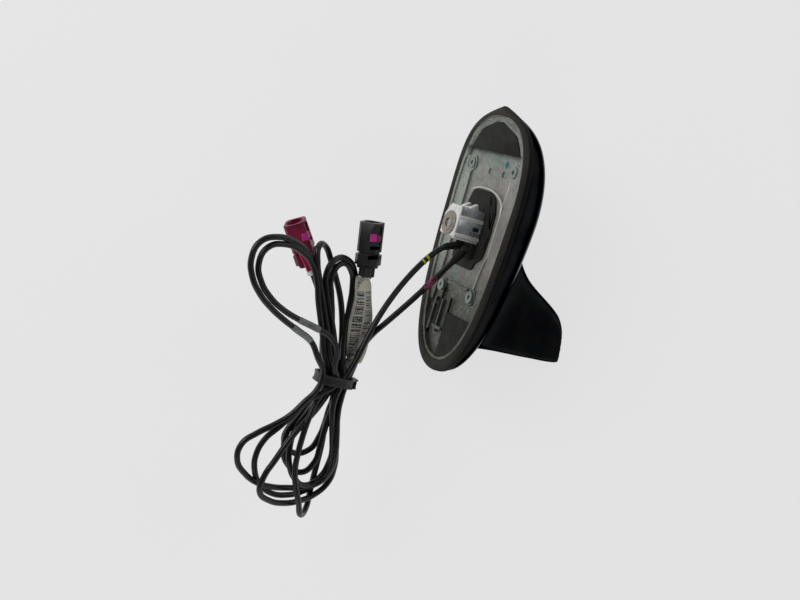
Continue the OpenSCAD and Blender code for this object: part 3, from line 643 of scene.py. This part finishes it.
relief_b = relief("relief_yellow", route_b, (-9.2, -4, -3.0), (-12.0, -3.9, -9.4), 1.95)
relief_a = relief("relief_magenta", route_a, (-11.4, 3.6, -2.9), (-17.2, 3.5, -6.8), 2.0)

# Cable tie: a strap with raised edges round the waist of the hank, its head and its cut end
WAIST = np.array([-83.0, 0.0, -46.0])
WAIST_H, WAIST_W = 8.3, 5.8


def make_strap(n=72):
    loop = [WAIST + np.array([0, bulged(y, 0.625) * WAIST_W, bulged(z, 0.625) * WAIST_H]) for y, z in circle(1, n)]
    section = [(-2.2, 0), (-2.2, 1.15), (-1.6, 1.2), (-1.4, 0.8), (1.4, 0.8), (1.6, 1.2), (2.2, 1.15), (2.2, 0)]
    rings = []
    for i in range(n):
        ahead = loop[(i + 1) % n] - loop[i - 1]
        out = np.cross(ahead / np.linalg.norm(ahead), (1, 0, 0))
        rings.append([loop[i] + np.array([x, 0, 0]) + out * h for x, h in section])
    strap = rings_mesh("tie_strap", rings, closed=True)
    add_bevel(strap, 0.12)
    return strap


def shaped_box(name, lo, hi, bevel, cuts=()):
    obj = block(name, lo, hi)
    for k, (a, b) in enumerate(cuts):
        boolean(obj, block(name + "_cut%d" % k, a, b))
    add_bevel(obj, bevel, 3)
    return shaded(obj)


strap = make_strap()
tie_head = shaped_box("tie_head", (-85.4, -2.4, -37.9), (-80.7, 2.4, -34.9), 0.6,
                      [((-84.4, -1.6, -35.6), (-81.6, 3, -34.0)), ((-84.0, 1.2, -37.4), (-82.0, 3, -36.2))])
tie_end = shaped_box("tie_end", (-84.6, 1.9, -37.2), (-81.4, 4.6, -36.4), 0.25)

# Paper label: a flattened sleeve round the cord behind the black connector, in rows of x, low z, high z
LABEL_ROWS = [(-35.1, -35.0, -48.3, -41.7), (-38.9, -37.1, -47.7, -40.0), (-45.6, -43.7, -45.9, -37.6),
              (-55.1, -52.6, -45.6, -34.2), (-64.4, -61.9, -44.4, -32.7), (-71.2, -69.2, -42.2, -32.6),
              (-74.6, -73.6, -39.4, -33.6)]


def make_label(n=40):
    """The paper's skin. Its UV map runs along the strip and across its near side."""
    rows, turn, rings = curved(LABEL_ROWS, 9), circle(1, n), []
    last = len(rows) - 1
    for k, (x0, x1, z0, z1) in enumerate(rows):
        share = k / last
        thick = 1.75 + 0.15 * math.sin(14 * share + 1)
        ring = []
        for c, s in turn:
            c = bulged(c, 0.9)
            wave = 0.25 * math.sin(5 * share + 2 * c) * min(1, share * 4)
            ring.append(((x0 + x1 + c * (x1 - x0)) / 2, bulged(s, 1.1) * thick + wave - 3.5,
                         (z0 + z1 + c * (z1 - z0)) / 2))
        rings.append(ring)
    obj = rings_mesh("label_paper_wrap", rings)
    uv = obj.data.uv_layers.new(name="paper")
    for poly in obj.data.polygons:
        for li, vi in zip(poly.loop_indices, poly.vertices):
            k, i = divmod(vi, n)
            c, s = turn[i]
            uv.data[li].uv = (k / last, 0.5 + 0.5 * c + (0 if s > -0.01 else 2))
    return obj


label = make_label()


def on_face(name, housing, points, below, above):
    """A slab that lies in and on a housing's near face."""
    face = max(v.co.y for v in nodes[housing].data.vertices) / MM
    return prism(name, points, face - below, face + above, 1)


lock_window = on_face("lock_window", "black_housing",
                      [(-14.6, -50.2), (-14.0, -47.1), (-17.2, -46.3), (-17.9, -49.3)], 0.5, 0.08)
red_window = on_face("red_window", "red_housing",
                     [(-23.1, -78.4), (-21.9, -75.8), (-24.7, -74.2), (-26.0, -76.9)], 0.6, 0.06)
red_clip = softened(on_face("red_clip", "red_housing", [
    (-31.8, -77.2), (-30.1, -74.5), (-32.8, -72.2), (-37.2, -68.3), (-39.0, -70.5), (-34.3, -74.7)], 0.8, 0.5), 0.2)
# Dark slabs flush with the black housing's face: painted shade standing in for its two lock slots
lock_slot_shadows = joined("lock_slot_shadows", [on_face("slot", "black_housing", points, 0.5, 0.05) for points in (
    [(-20.0, -48.7), (-18.9, -43.9), (-20.4, -43.6), (-21.4, -48.2)],
    [(-24.3, -48.2), (-23.2, -43.6), (-24.9, -43.2), (-26.0, -47.7)])])

# A scrap of film that sticks out behind the label
FILM = [(-70.0, -2.4, -36.2), (-70.4, -2.6, -39.6), (-74.5, -2.9, -41.2), (-80.6, -3.2, -40.4),
        (-82.2, -3.3, -38.6), (-76.5, -2.9, -37.4)]
flag_tip = new_mesh("label_tail", FILM + [(x, y - 0.5, z) for x, y, z in FILM],
                    [(0, 1, 2, 5), (5, 2, 3, 4), (11, 8, 7, 6), (10, 9, 8, 11)]
                    + [(i, (i + 1) % 6, 6 + (i + 1) % 6, 6 + i) for i in range(6)], smooth=False)


# -------- materials
class Nodes:
    """A node tree. Kinds of node go by their name without ShaderNode, and inputs by their order."""

    def __init__(self, tree):
        self.tree = tree
        tree.nodes.clear()

    def fill(self, socket, value):
        if isinstance(value, bpy.types.NodeSocket):
            self.tree.links.new(value, socket)
        elif socket.type == "RGBA" and len(value) == 3:
            socket.default_value = (*value, 1)
        else:
            socket.default_value = value

    def node(self, kind, *values, **props):
        n = self.tree.nodes.new("ShaderNode" + kind)
        for k, v in props.items():
            setattr(n, k, v)
        for socket, value in zip(n.inputs, values):
            self.fill(socket, value)
        return n

    def span(self, value, lo, hi, a=0.0, b=1.0):
        """The value between lo and hi, carried over to a and b and held there."""
        return self.node("MapRange", value, lo, hi, a, b).outputs[0]

    def calc(self, op, first, *more):
        for value in more:
            first = self.node("Math", first, value, operation=op, use_clamp=op in ("MULTIPLY", "ADD")).outputs[0]
        return first

    def times(self, *shares):
        return self.calc("MULTIPLY", *shares)


class Surface(Nodes):
    """A material, with places and heights in millimetres of the frame."""

    def __init__(self, name, rough=0.5, metal=0.0, specular=0.5):
        self.mat = bpy.data.materials.new(name)
        self.mat.use_nodes = True
        super().__init__(self.mat.node_tree)
        self.bsdf = self.node("BsdfPrincipled")
        self.set("Roughness", rough)
        self.set("Metallic", metal)
        self.set("Specular IOR Level", specular)
        self.node("OutputMaterial", self.bsdf.outputs[0])
        self.place = self.node("TexCoord").outputs["Object"]
        self.normal = self.tone = None

    def set(self, name, value):
        self.fill(self.bsdf.inputs[name], value)

    def noise(self, per_mm, detail=3.0, rough=0.55, stretch_by=(1, 1, 1)):
        m = self.node("Mapping", self.place, (0, 0, 0), (0, 0, 0), [s / MM for s in stretch_by])
        return self.node("TexNoise", m.outputs[0], 0, per_mm, detail, rough).outputs[0]

    def mix(self, share, a, b):
        n = self.node("Mix", share, data_type="RGBA")
        self.fill(n.inputs[6], a)
        self.fill(n.inputs[7], b)
        return n.outputs[2]

    def over(self, colour, *shares):
        """Lays a colour over the tone, by the product of the shares."""
        self.tone = self.mix(self.times(*shares), self.tone, colour)

    def near(self, point, inner, outer, scale=(1, 1, 1)):
        """1 within inner millimetres of the point, falling to 0 at outer."""
        n = self.node("VectorMath", self.place, [c * MM for c in point], operation="SUBTRACT")
        n = self.node("VectorMath", n.outputs[0], [c / MM for c in scale], operation="MULTIPLY")
        n = self.node("VectorMath", n.outputs[0], operation="LENGTH")
        return self.span(n.outputs["Value"], inner, outer, 1.0, 0.0)

    def axis(self, name):
        """A coordinate of the frame, in millimetres."""
        parts = self.node("SeparateXYZ", self.place)
        return self.node("Math", parts.outputs[name], 1 / MM, operation="MULTIPLY").outputs[0]

    def level(self):
        """Height above the roof, which falls away under the nose, in millimetres."""
        ahead = self.span(self.axis("X"), SAG_FROM, SAG_FROM + SAG_REACH)
        return self.node("Math", self.times(ahead, ahead), SAG, self.axis("Z"), operation="MULTIPLY_ADD").outputs[0]

    def bump(self, height, depth, strength=1.0):
        n = self.node("Bump", strength, depth * MM)
        self.fill(n.inputs["Height"], height)
        if self.normal is not None:
            self.fill(n.inputs["Normal"], self.normal)
        self.normal = n.outputs[0]
        self.set("Normal", self.normal)

    def finish(self, grain, smooth, coarse, depth):
        """The tone, the roughness between two values along the grain, and the grain's relief."""
        self.set("Base Color", self.tone)
        self.set("Roughness", self.span(grain, 0.3, 0.7, smooth, coarse))
        self.bump(grain, depth)
        return self


def plastic(name, colour, rough=0.42, spread=0.25, grain=0.03, specular=0.4, dust=None, dust_colour=None):
    """Moulded plastic or rubber: a slow shift of tone, fine grain, and dust where asked for."""
    s = Surface(name, specular=specular)
    slow, fine = s.noise(0.12, 2), s.noise(3.0, 4)
    dark, light = (tuple(min(1, c * k) for c in colour) for k in (1 - spread, 1 + spread))
    s.tone = s.mix(s.span(slow, 0.35, 0.65), dark, light)
    if dust is not None:
        s.over(dust_colour, s.span(s.noise(1.4, 5, 0.7), 0.62 - dust * 0.2, 0.8), 0.65)
    return s.finish(fine, rough - 0.07, rough + 0.09, grain)


def metal(name, colour, rough=0.3, scratches=0.02, stain=(0.30, 0.24, 0.18), stained=0.3, metallic=0.9):
    """Plated or plain sheet, with a grain and with stains."""
    s = Surface(name, metal=metallic)
    fine, slow = s.noise(0.9, 5, 0.65, (1, 1, 6)), s.noise(0.25, 4)
    s.tone = s.mix(slow, tuple(c * 0.82 for c in colour), colour)
    s.over(stain, s.span(s.noise(0.7, 5, 0.7), 0.55, 0.75, 0.0, stained))
    return s.finish(fine, rough - 0.1, rough + 0.14, scratches)


def gloss_black():
    """The shell: black, with dim reflections and a faint haze."""
    s = Surface("shell_gloss_black", metal=1.0)
    s.set("Specular Tint", (0.36, 0.37, 0.38))
    slow, haze = s.noise(0.06, 3), s.noise(0.5, 5, 0.65)
    s.set("Base Color", s.mix(s.span(slow, 0.35, 0.65), (0.006, 0.0065, 0.008), (0.013, 0.0135, 0.0135)))
    s.set("Roughness", s.span(haze, 0.4, 0.75, 0.07, 0.2))
    s.bump(s.noise(0.35, 2), 0.008, 0.4)
    return s


def rim_rubber():
    """Matt rubber: dusty on the sole, dark up the flank and along the left edge."""
    s = Surface("rim_rubber", specular=0.1)
    slow, fine, speck = s.noise(0.05, 3), s.noise(2.2, 5, 0.7), s.noise(1.1, 6, 0.75)
    level = s.level()
    s.tone = s.mix(s.span(slow, 0.35, 0.65), (0.018, 0.018, 0.017), (0.036, 0.035, 0.032))
    s.over((0.095, 0.09, 0.08), s.span(speck, 0.5, 0.75, 0.0, 0.75))
    s.over((0.062, 0.06, 0.052), s.span(level, 0.0, 0.5, 1.0, 0.0), s.span(slow, 0.4, 0.6, 0.2, 0.6))
    s.over((0.004, 0.004, 0.0038), s.span(level, 0.45, 1.1, 0.0, 0.9))
    s.over((0.012, 0.012, 0.011), s.span(s.axis("Y"), 12, 24), s.span(level, 0.1, 0.5, 1.0, 0.0), 0.55)
    return s.finish(fine, 0.55, 0.8, 0.05)


def cast_metal():
    """Worn die casting: dull grey, with green and white corrosion where the photograph shows it."""
    s = Surface("cast_base_worn")
    slow, mid, fine = s.noise(0.09, 4), s.noise(0.45, 6, 0.7), s.noise(1.8, 6, 0.75)
    s.tone = s.mix(s.span(slow, 0.35, 0.65), (0.27, 0.275, 0.25), (0.40, 0.41, 0.375))
    s.over((0.14, 0.138, 0.118), s.span(mid, 0.48, 0.68, 0.0, 0.8))
    s.over((0.09, 0.09, 0.078), s.span(s.noise(1.1, 6, 0.8), 0.56, 0.66, 0.0, 0.6))
    s.over((0.55, 0.56, 0.52), s.span(fine, 0.6, 0.75, 0.0, 0.5))
    # Teal behind the nose pad, with one strong spot
    teal = s.near((36, 2, PLATE_Z), 5, 17, (2.2, 0.9, 1))
    s.over((0.16, 0.29, 0.27), teal, s.span(s.noise(0.6, 6, 0.75), 0.44, 0.6), 0.7)
    s.over((0.05, 0.16, 0.17), s.near((32.7, 11, PLATE_Z), 0.8, 2.2))
    # White and dark crusts round the four screws
    white = s.span(s.noise(0.9, 5, 0.7), 0.42, 0.58)
    for point, reach in (((30, 20, 2), 6.5), ((29, -20, 2), 7), ((-30, 14.5, 2), 5), ((-30, -14.5, 2), 5)):
        near = s.near(point, 2.5, reach, (0.8, 1.1, 1))
        s.over((0.55, 0.66, 0.60), near, white)
        s.over((0.04, 0.10, 0.09), near, s.span(fine, 0.5, 0.58, 0.0, 0.9))
    # A pale, crumbling rail on the right
    rail = s.times(s.span(s.axis("Y"), -18.5, -20), s.span(s.axis("Z"), 2.2, 1.6))
    crumbs = s.span(s.noise(1.3, 5, 0.7), 0.5, 0.6)
    s.over((0.46, 0.52, 0.46), rail, s.span(mid, 0.3, 0.6, 0.2, 0.9))
    s.over((0.16, 0.2, 0.17), rail, crumbs, 0.6)
    # Dark specks at the front
    s.over((0.07, 0.10, 0.09), s.span(s.axis("X"), 33.5, 36.8), s.span(s.noise(1.5, 5, 0.7), 0.42, 0.56), 0.7)
    s.over((0.10, 0.17, 0.15), s.near((32.5, 0, PLATE_Z), 3, 13, (2.4, 0.8, 1)), crumbs, 0.55)
    # Pinkish areas beside the post and behind it
    s.over((0.36, 0.30, 0.31), s.near((6, 20, 2), 8, 26, (0.6, 1.6, 1)), s.span(slow, 0.4, 0.6, 0.1, 0.6))
    s.over((0.33, 0.25, 0.24), s.near((-30, 4, 2), 3, 10), s.span(mid, 0.4, 0.6, 0.0, 0.6))
    # The dark rear: dirt and painted shade, with green patches and light flakes
    rear_dirt_and_shade = s.mix(s.span(slow, 0.4, 0.6), (0.075, 0.068, 0.05), (0.062, 0.078, 0.062))
    s.over(rear_dirt_and_shade, s.span(s.axis("X"), -12, -32), s.span(mid, 0.35, 0.6, 0.55, 0.95))
    for point, reach in (((-16, -10, 2), 6), ((-30, 12, 2), 7), ((-24, -8, 2), 6)):
        near = s.near(point, 1.5, reach)
        s.over((0.05, 0.12, 0.10), near, s.span(s.noise(0.8, 6, 0.8), 0.46, 0.56), 0.75)
        s.over((0.52, 0.60, 0.54), near, s.span(s.noise(1.2, 5, 0.7), 0.56, 0.64))
    s.over((0.03, 0.13, 0.14), s.near((32.7, 11, PLATE_Z), 1.1, 2.1))
    # Painted contact shade on the casting along the nose pad's straight edge
    pad_edge_shade = s.times(s.span(s.axis("X"), 35.2, 37.0, 0.0, 0.9), s.span(s.axis("X"), 37.5, 38.0, 1.0, 0.0))
    s.over((0.03, 0.035, 0.032), pad_edge_shade, s.span(mid, 0.35, 0.55, 0.3, 1.0))
    s.set("Metallic", s.span(mid, 0.35, 0.65, 0.75, 0.3))
    s.bump(mid, 0.12)
    return s.finish(fine, 0.42, 0.68, 0.06)


def pad_surface():
    s = plastic("pad_rubber_worn", (0.018, 0.018, 0.0165), 0.65, 0.3, 0.08, 0.15, 0.5, (0.07, 0.068, 0.06))
    s.bump(s.noise(0.35, 4, 0.6), 0.25)
    return s


def cord_surface():
    s = Surface("cord_sheath", specular=0.45)
    s.tone = s.mix(s.span(s.noise(0.05, 3), 0.35, 0.65), (0.004, 0.0045, 0.0055), (0.010, 0.011, 0.012))
    return s.finish(s.noise(1.6, 4), 0.26, 0.38, 0.02)


def mottled(name, colour, base):
    """A printed mark that has partly rubbed off."""
    s = Surface(name, specular=0.4)
    worn = s.span(s.noise(0.75, 3, 0.5), 0.47, 0.55)
    s.tone = s.mix(worn, base, s.mix(s.noise(1.5, 3), tuple(c * 0.8 for c in colour), colour))
    return s.finish(s.noise(2.0), 0.45, 0.6, 0.02)


def paper():
    """Worn paper with two columns of plain dark bars, a torn light patch and a yellowed end."""
    s = Surface("paper_printed", rough=0.8, specular=0.2)
    uv = s.node("UVMap", uv_map="paper").outputs[0]
    split = s.node("SeparateXYZ", uv)
    u, v = split.outputs[0], split.outputs[1]
    lines = s.node("Mapping", uv, (0, 0, 0), (0, 0, 0), (1, 0.001, 0))
    ink = s.span(s.node("TexNoise", lines.outputs[0], 0, 64, 2).outputs[0], 0.47, 0.49)

    def within(value, lo, hi):
        return s.times(s.span(value, lo, lo + 0.01), s.span(value, hi, hi + 0.01, 1.0, 0.0))

    left = s.times(within(v, 0.10, 0.48), ink, within(u, 0.03, 0.86))
    right = s.times(within(v, 0.56, 0.84), s.calc("SUBTRACT", 1.0, ink), within(u, 0.2, 0.66))
    s.tone = s.mix(s.span(s.noise(0.35, 5, 0.7), 0.42, 0.72, 0.0, 0.6), (0.60, 0.59, 0.53), (0.33, 0.32, 0.27))
    s.over((0.58, 0.53, 0.36), s.span(u, 0.86, 0.96, 0.0, 0.6))
    s.over((0.035, 0.035, 0.035), s.calc("ADD", left, right), s.span(s.noise(1.2, 4, 0.7), 0.36, 0.5))
    corner = s.span(s.calc("ADD", v, s.times(u, 2.2)), 0.62, 0.64)
    s.over((0.66, 0.62, 0.50), corner, s.span(u, 0.24, 0.25, 1.0, 0.0), s.span(v, 0.94, 0.95, 1.0, 0.0))
    s.set("Base Color", s.tone)
    s.bump(s.noise(0.5, 4), 0.15)
    return s


MATS = {
    "gloss": gloss_black(),
    "rim": rim_rubber(),
    "cast": cast_metal(),
    "pad": pad_surface(),
    "rim_line": plastic("rim_inner_edge", (0.20, 0.185, 0.15), 0.6, 0.4, 0.06, 0.2),
    # The casting's lip: a lighter copy of the casting's metal, a painted highlight
    "lip": metal("lip_painted_highlight", (0.62, 0.62, 0.56), 0.35, 0.02, (0.30, 0.31, 0.27), 0.5, 0.6),
    "cord": cord_surface(),
    "screw": metal("screw_steel_worn", (0.30, 0.35, 0.325), 0.45, 0.12, (0.04, 0.09, 0.08), 1.0),
    # The claw's edges, bottom and teeth: a whiter copy of its steel, a painted highlight
    "claw_edge": metal("claw_painted_highlight", (0.93, 0.94, 0.91), 0.28, 0.015, (0.55, 0.55, 0.5), 0.3, 0.3),
    "claw": metal("claw_bright", (0.72, 0.75, 0.82), 0.3, 0.01, (0.40, 0.41, 0.44), 0.3, 0.75),
    "bolt": metal("bolt_dull", (0.36, 0.33, 0.28), 0.45, 0.04, (0.20, 0.15, 0.11), 0.6, 0.7),
    "tin": metal("tin_sheet", (0.62, 0.63, 0.61)),
    "brass": metal("brass_sheet", (0.66, 0.50, 0.24), 0.3, 0.02, (0.30, 0.20, 0.10)),
    "board": plastic("board_mask", (0.03, 0.16, 0.07), 0.35, 0.2),
    "chip": plastic("chip_black", (0.03, 0.03, 0.033), 0.5),
    "holder": plastic("holder_white", (0.66, 0.65, 0.6), 0.5, 0.06),
    "plug": plastic("plug_black_satin", (0.017, 0.017, 0.019), 0.36, 0.3, 0.03, 0.5, 0.25, (0.07, 0.07, 0.07)),
    "lock": plastic("lock_magenta_satin", (0.55, 0.03, 0.28), 0.4, 0.15),
    "bordeaux": plastic("plug_bordeaux_satin", (0.19, 0.004, 0.035), 0.38, 0.25, 0.03, 0.25, 0.1, (0.30, 0.03, 0.10)),
    "red": plastic("lock_red_satin", (0.50, 0.012, 0.08), 0.36, 0.15),
    "tie": plastic("tie_nylon", (0.02, 0.021, 0.022), 0.4, 0.25, 0.03, 0.45, 0.2, (0.07, 0.07, 0.07)),
    "sleeve": plastic("sleeve_grey", (0.15, 0.16, 0.165), 0.4, 0.5, 0.08, 0.4, 0.9, (0.36, 0.37, 0.37)),
    "yellow": mottled("mark_yellow", (0.72, 0.74, 0.05), (0.45, 0.46, 0.04)),
    "magenta": mottled("mark_magenta", (0.33, 0.04, 0.14), (0.012, 0.012, 0.012)),
    "paper": paper(),
    "film": plastic("film_grey", (0.36, 0.38, 0.44), 0.3, 0.15),
}

# Nodes of the solids that are seen as they are: their look, and the width of their softened edges
CAD_LOOKS = {
    "tail_pad": ("pad", 0.3), "cable_grommet": ("pad", 0.3), "cover_screws": ("screw", 0.15),
    "circuit_board": ("board", 0.1), "board_screws": ("screw", 0.15),
    "shield_can": ("tin", 0.2), "board_parts": ("chip", 0.1), "radiator_blade": ("brass", 0.1),
    "blade_holder": ("holder", 0.2), "contact_spring": ("brass", 0.05), "inner_leads": ("cord", 0.1),
    "black_housing": ("plug", 0.25), "black_lock": ("lock", 0.1), "black_contact": ("brass", 0.1),
    "black_ferrule": ("tin", 0.1), "red_housing": ("bordeaux", 0.25), "red_lock": ("red", 0.1),
    "red_contact": ("brass", 0.1), "red_ferrule": ("tin", 0.1),
}


def dress(obj, look):
    obj.data.materials.clear()
    obj.data.materials.append(MATS[look].mat)


for node, (look, edge) in CAD_LOOKS.items():
    dress(nodes[node], look)
    add_bevel(nodes[node], edge)

add_bevel(plate, 0.22)

# Piece, look, slot, and the CAD nodes that it stands for
PIECES = [
    (cover, "gloss", "cover_black", "cover"),
    (rim, "rim", "gasket_rubber", "gasket"),
    (plate, "cast", "cast_base", "base_plate"),
    (pad_nose, "pad", "pad_rubber", "nose_pad"),
    (nose_band, "cast", "cast_base"),
    (lip, "lip", "cast_base"),
    (rim_line, "rim_line", "gasket_rubber"),
    (tail_parts, "pad", "pad_rubber"),
    (pad_post, "pad", "pad_rubber", "post_pad"),
    (claw, "claw", "claw_steel", "claw"),
    (claw_highlit_parts, "claw_edge", "claw_steel"),
    (bolt, "bolt", "bolt_steel", "clamp_bolt"),
    (cord_a, "cord", "cord_black", "lead_magenta", "red_tail", "hank_front"),
    (cord_b, "cord", "cord_black", "lead_yellow", "black_tail", "hank_rear"),
    (lock_window, "lock", "lock_magenta"),
    (red_window, "lock", "lock_red"),
    (red_clip, "red", "lock_red"),
    (lock_slot_shadows, "gloss", "plug_black"),
    (yellow_marks[0], "yellow", "band_yellow", "yellow_bands"),
    (yellow_marks[1], "yellow", "band_yellow"),
    (magenta_mark, "magenta", "band_magenta", "magenta_band"),
    (sleeve_a, "sleeve", "tie_black"),
    (sleeve_b, "sleeve", "tie_black"),
    (relief_a, "pad", "pad_rubber"),
    (relief_b, "pad", "pad_rubber"),
    (strap, "tie", "tie_black", "cable_tie"),
    (tie_head, "tie", "tie_black"),
    (tie_end, "tie", "tie_black"),
    (label, "paper", "label_paper", "paper_label"),
    (flag_tip, "film", "label_paper"),
]
for obj, look, slot, *stands_for in PIECES:
    dress(obj, look)
    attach(obj, "root")
    if stands_for:
        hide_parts(*stands_for)

# -------- studio, in metres
PALE = 0.783
MIDDLE = Vector((-0.03, 0, -0.02))
SHEET_AHEAD, SHEET_HALF = 0.041, 1.3


def lamp(name, right, down, back, reach, size, power):
    """A round lamp that faces the antenna, placed along the photograph's own axes."""
    place = MIDDLE + (CAM_RIGHT * right + CAM_DOWN * down - CAM_AHEAD * back).normalized() * reach
    obj = placed(name, bpy.data.lights.new(name, "AREA"))
    obj.data.shape = "DISK"
    obj.data.size = size
    obj.data.energy = power
    obj.location = place
    obj.rotation_euler = (MIDDLE - place).to_track_quat("-Z", "Y").to_euler()


lamp("key", -0.75, -0.6, 0.9, 1.0, 0.55, 3.2)
lamp("fill", 0.9, -0.25, 0.7, 1.1, 0.7, 1.5)
lamp("low", -0.2, 1.0, 0.6, 1.1, 0.6, 1.0)


def make_backdrop():
    """A pale sheet behind the part. Seen from its own back it isn't there."""
    centre = MIDDLE + CAM_AHEAD * (SHEET_AHEAD - CAM_AHEAD.dot(MIDDLE))
    corners = [centre + (CAM_RIGHT * a + CAM_DOWN * b) * SHEET_HALF for a, b in ((-1, -1), (-1, 1), (1, 1), (1, -1))]
    mesh = bpy.data.meshes.new("backdrop")
    mesh.from_pydata([tuple(c) for c in corners], [], [(0, 1, 2, 3)])
    obj = placed("backdrop", mesh)
    mat = bpy.data.materials.new("backdrop_pale")
    mat.use_nodes = True
    n = Nodes(mat.node_tree)
    rays = n.node("LightPath").outputs
    seen = n.calc("MAXIMUM", rays["Is Camera Ray"], rays["Is Glossy Ray"], rays["Is Transmission Ray"])
    lit = n.node("BsdfDiffuse", (0.16, 0.16, 0.16))
    glow = n.node("Emission", (1, 1, 1), n.span(seen, 0, 1, 0.5, 0.70))
    front = n.node("AddShader", lit.outputs[0], glow.outputs[0])
    pick = n.node("MixShader", n.node("NewGeometry").outputs["Backfacing"], front.outputs[0],
                  n.node("BsdfTransparent").outputs[0])
    n.node("OutputMaterial", pick.outputs[0])
    mesh.materials.append(mat)
    if mesh.polygons[0].normal.dot(-CAM_AHEAD) < 0:
        mesh.flip_normals()


def make_world():
    """Pale round the backdrop and dark on the camera's side, as in a room with a white table."""
    world = bpy.data.worlds.new("studio")
    bpy.context.scene.world = world
    world.use_nodes = True
    n = Nodes(world.node_tree)
    ahead = n.node("VectorMath", n.node("TexCoord").outputs["Generated"], CAM_AHEAD, operation="DOT_PRODUCT")
    rays = n.node("LightPath").outputs
    level = n.node("Mix", n.calc("MAXIMUM", rays["Is Camera Ray"], rays["Is Transmission Ray"]))
    n.fill(level.inputs[2], n.span(ahead.outputs["Value"], -0.55, -0.2, 0.06, PALE))
    n.fill(level.inputs[3], PALE)
    n.node("OutputWorld", n.node("Background", level.outputs[0]).outputs[0])


make_backdrop()
make_world()
bpy.context.scene.view_settings.view_transform = "Standard"
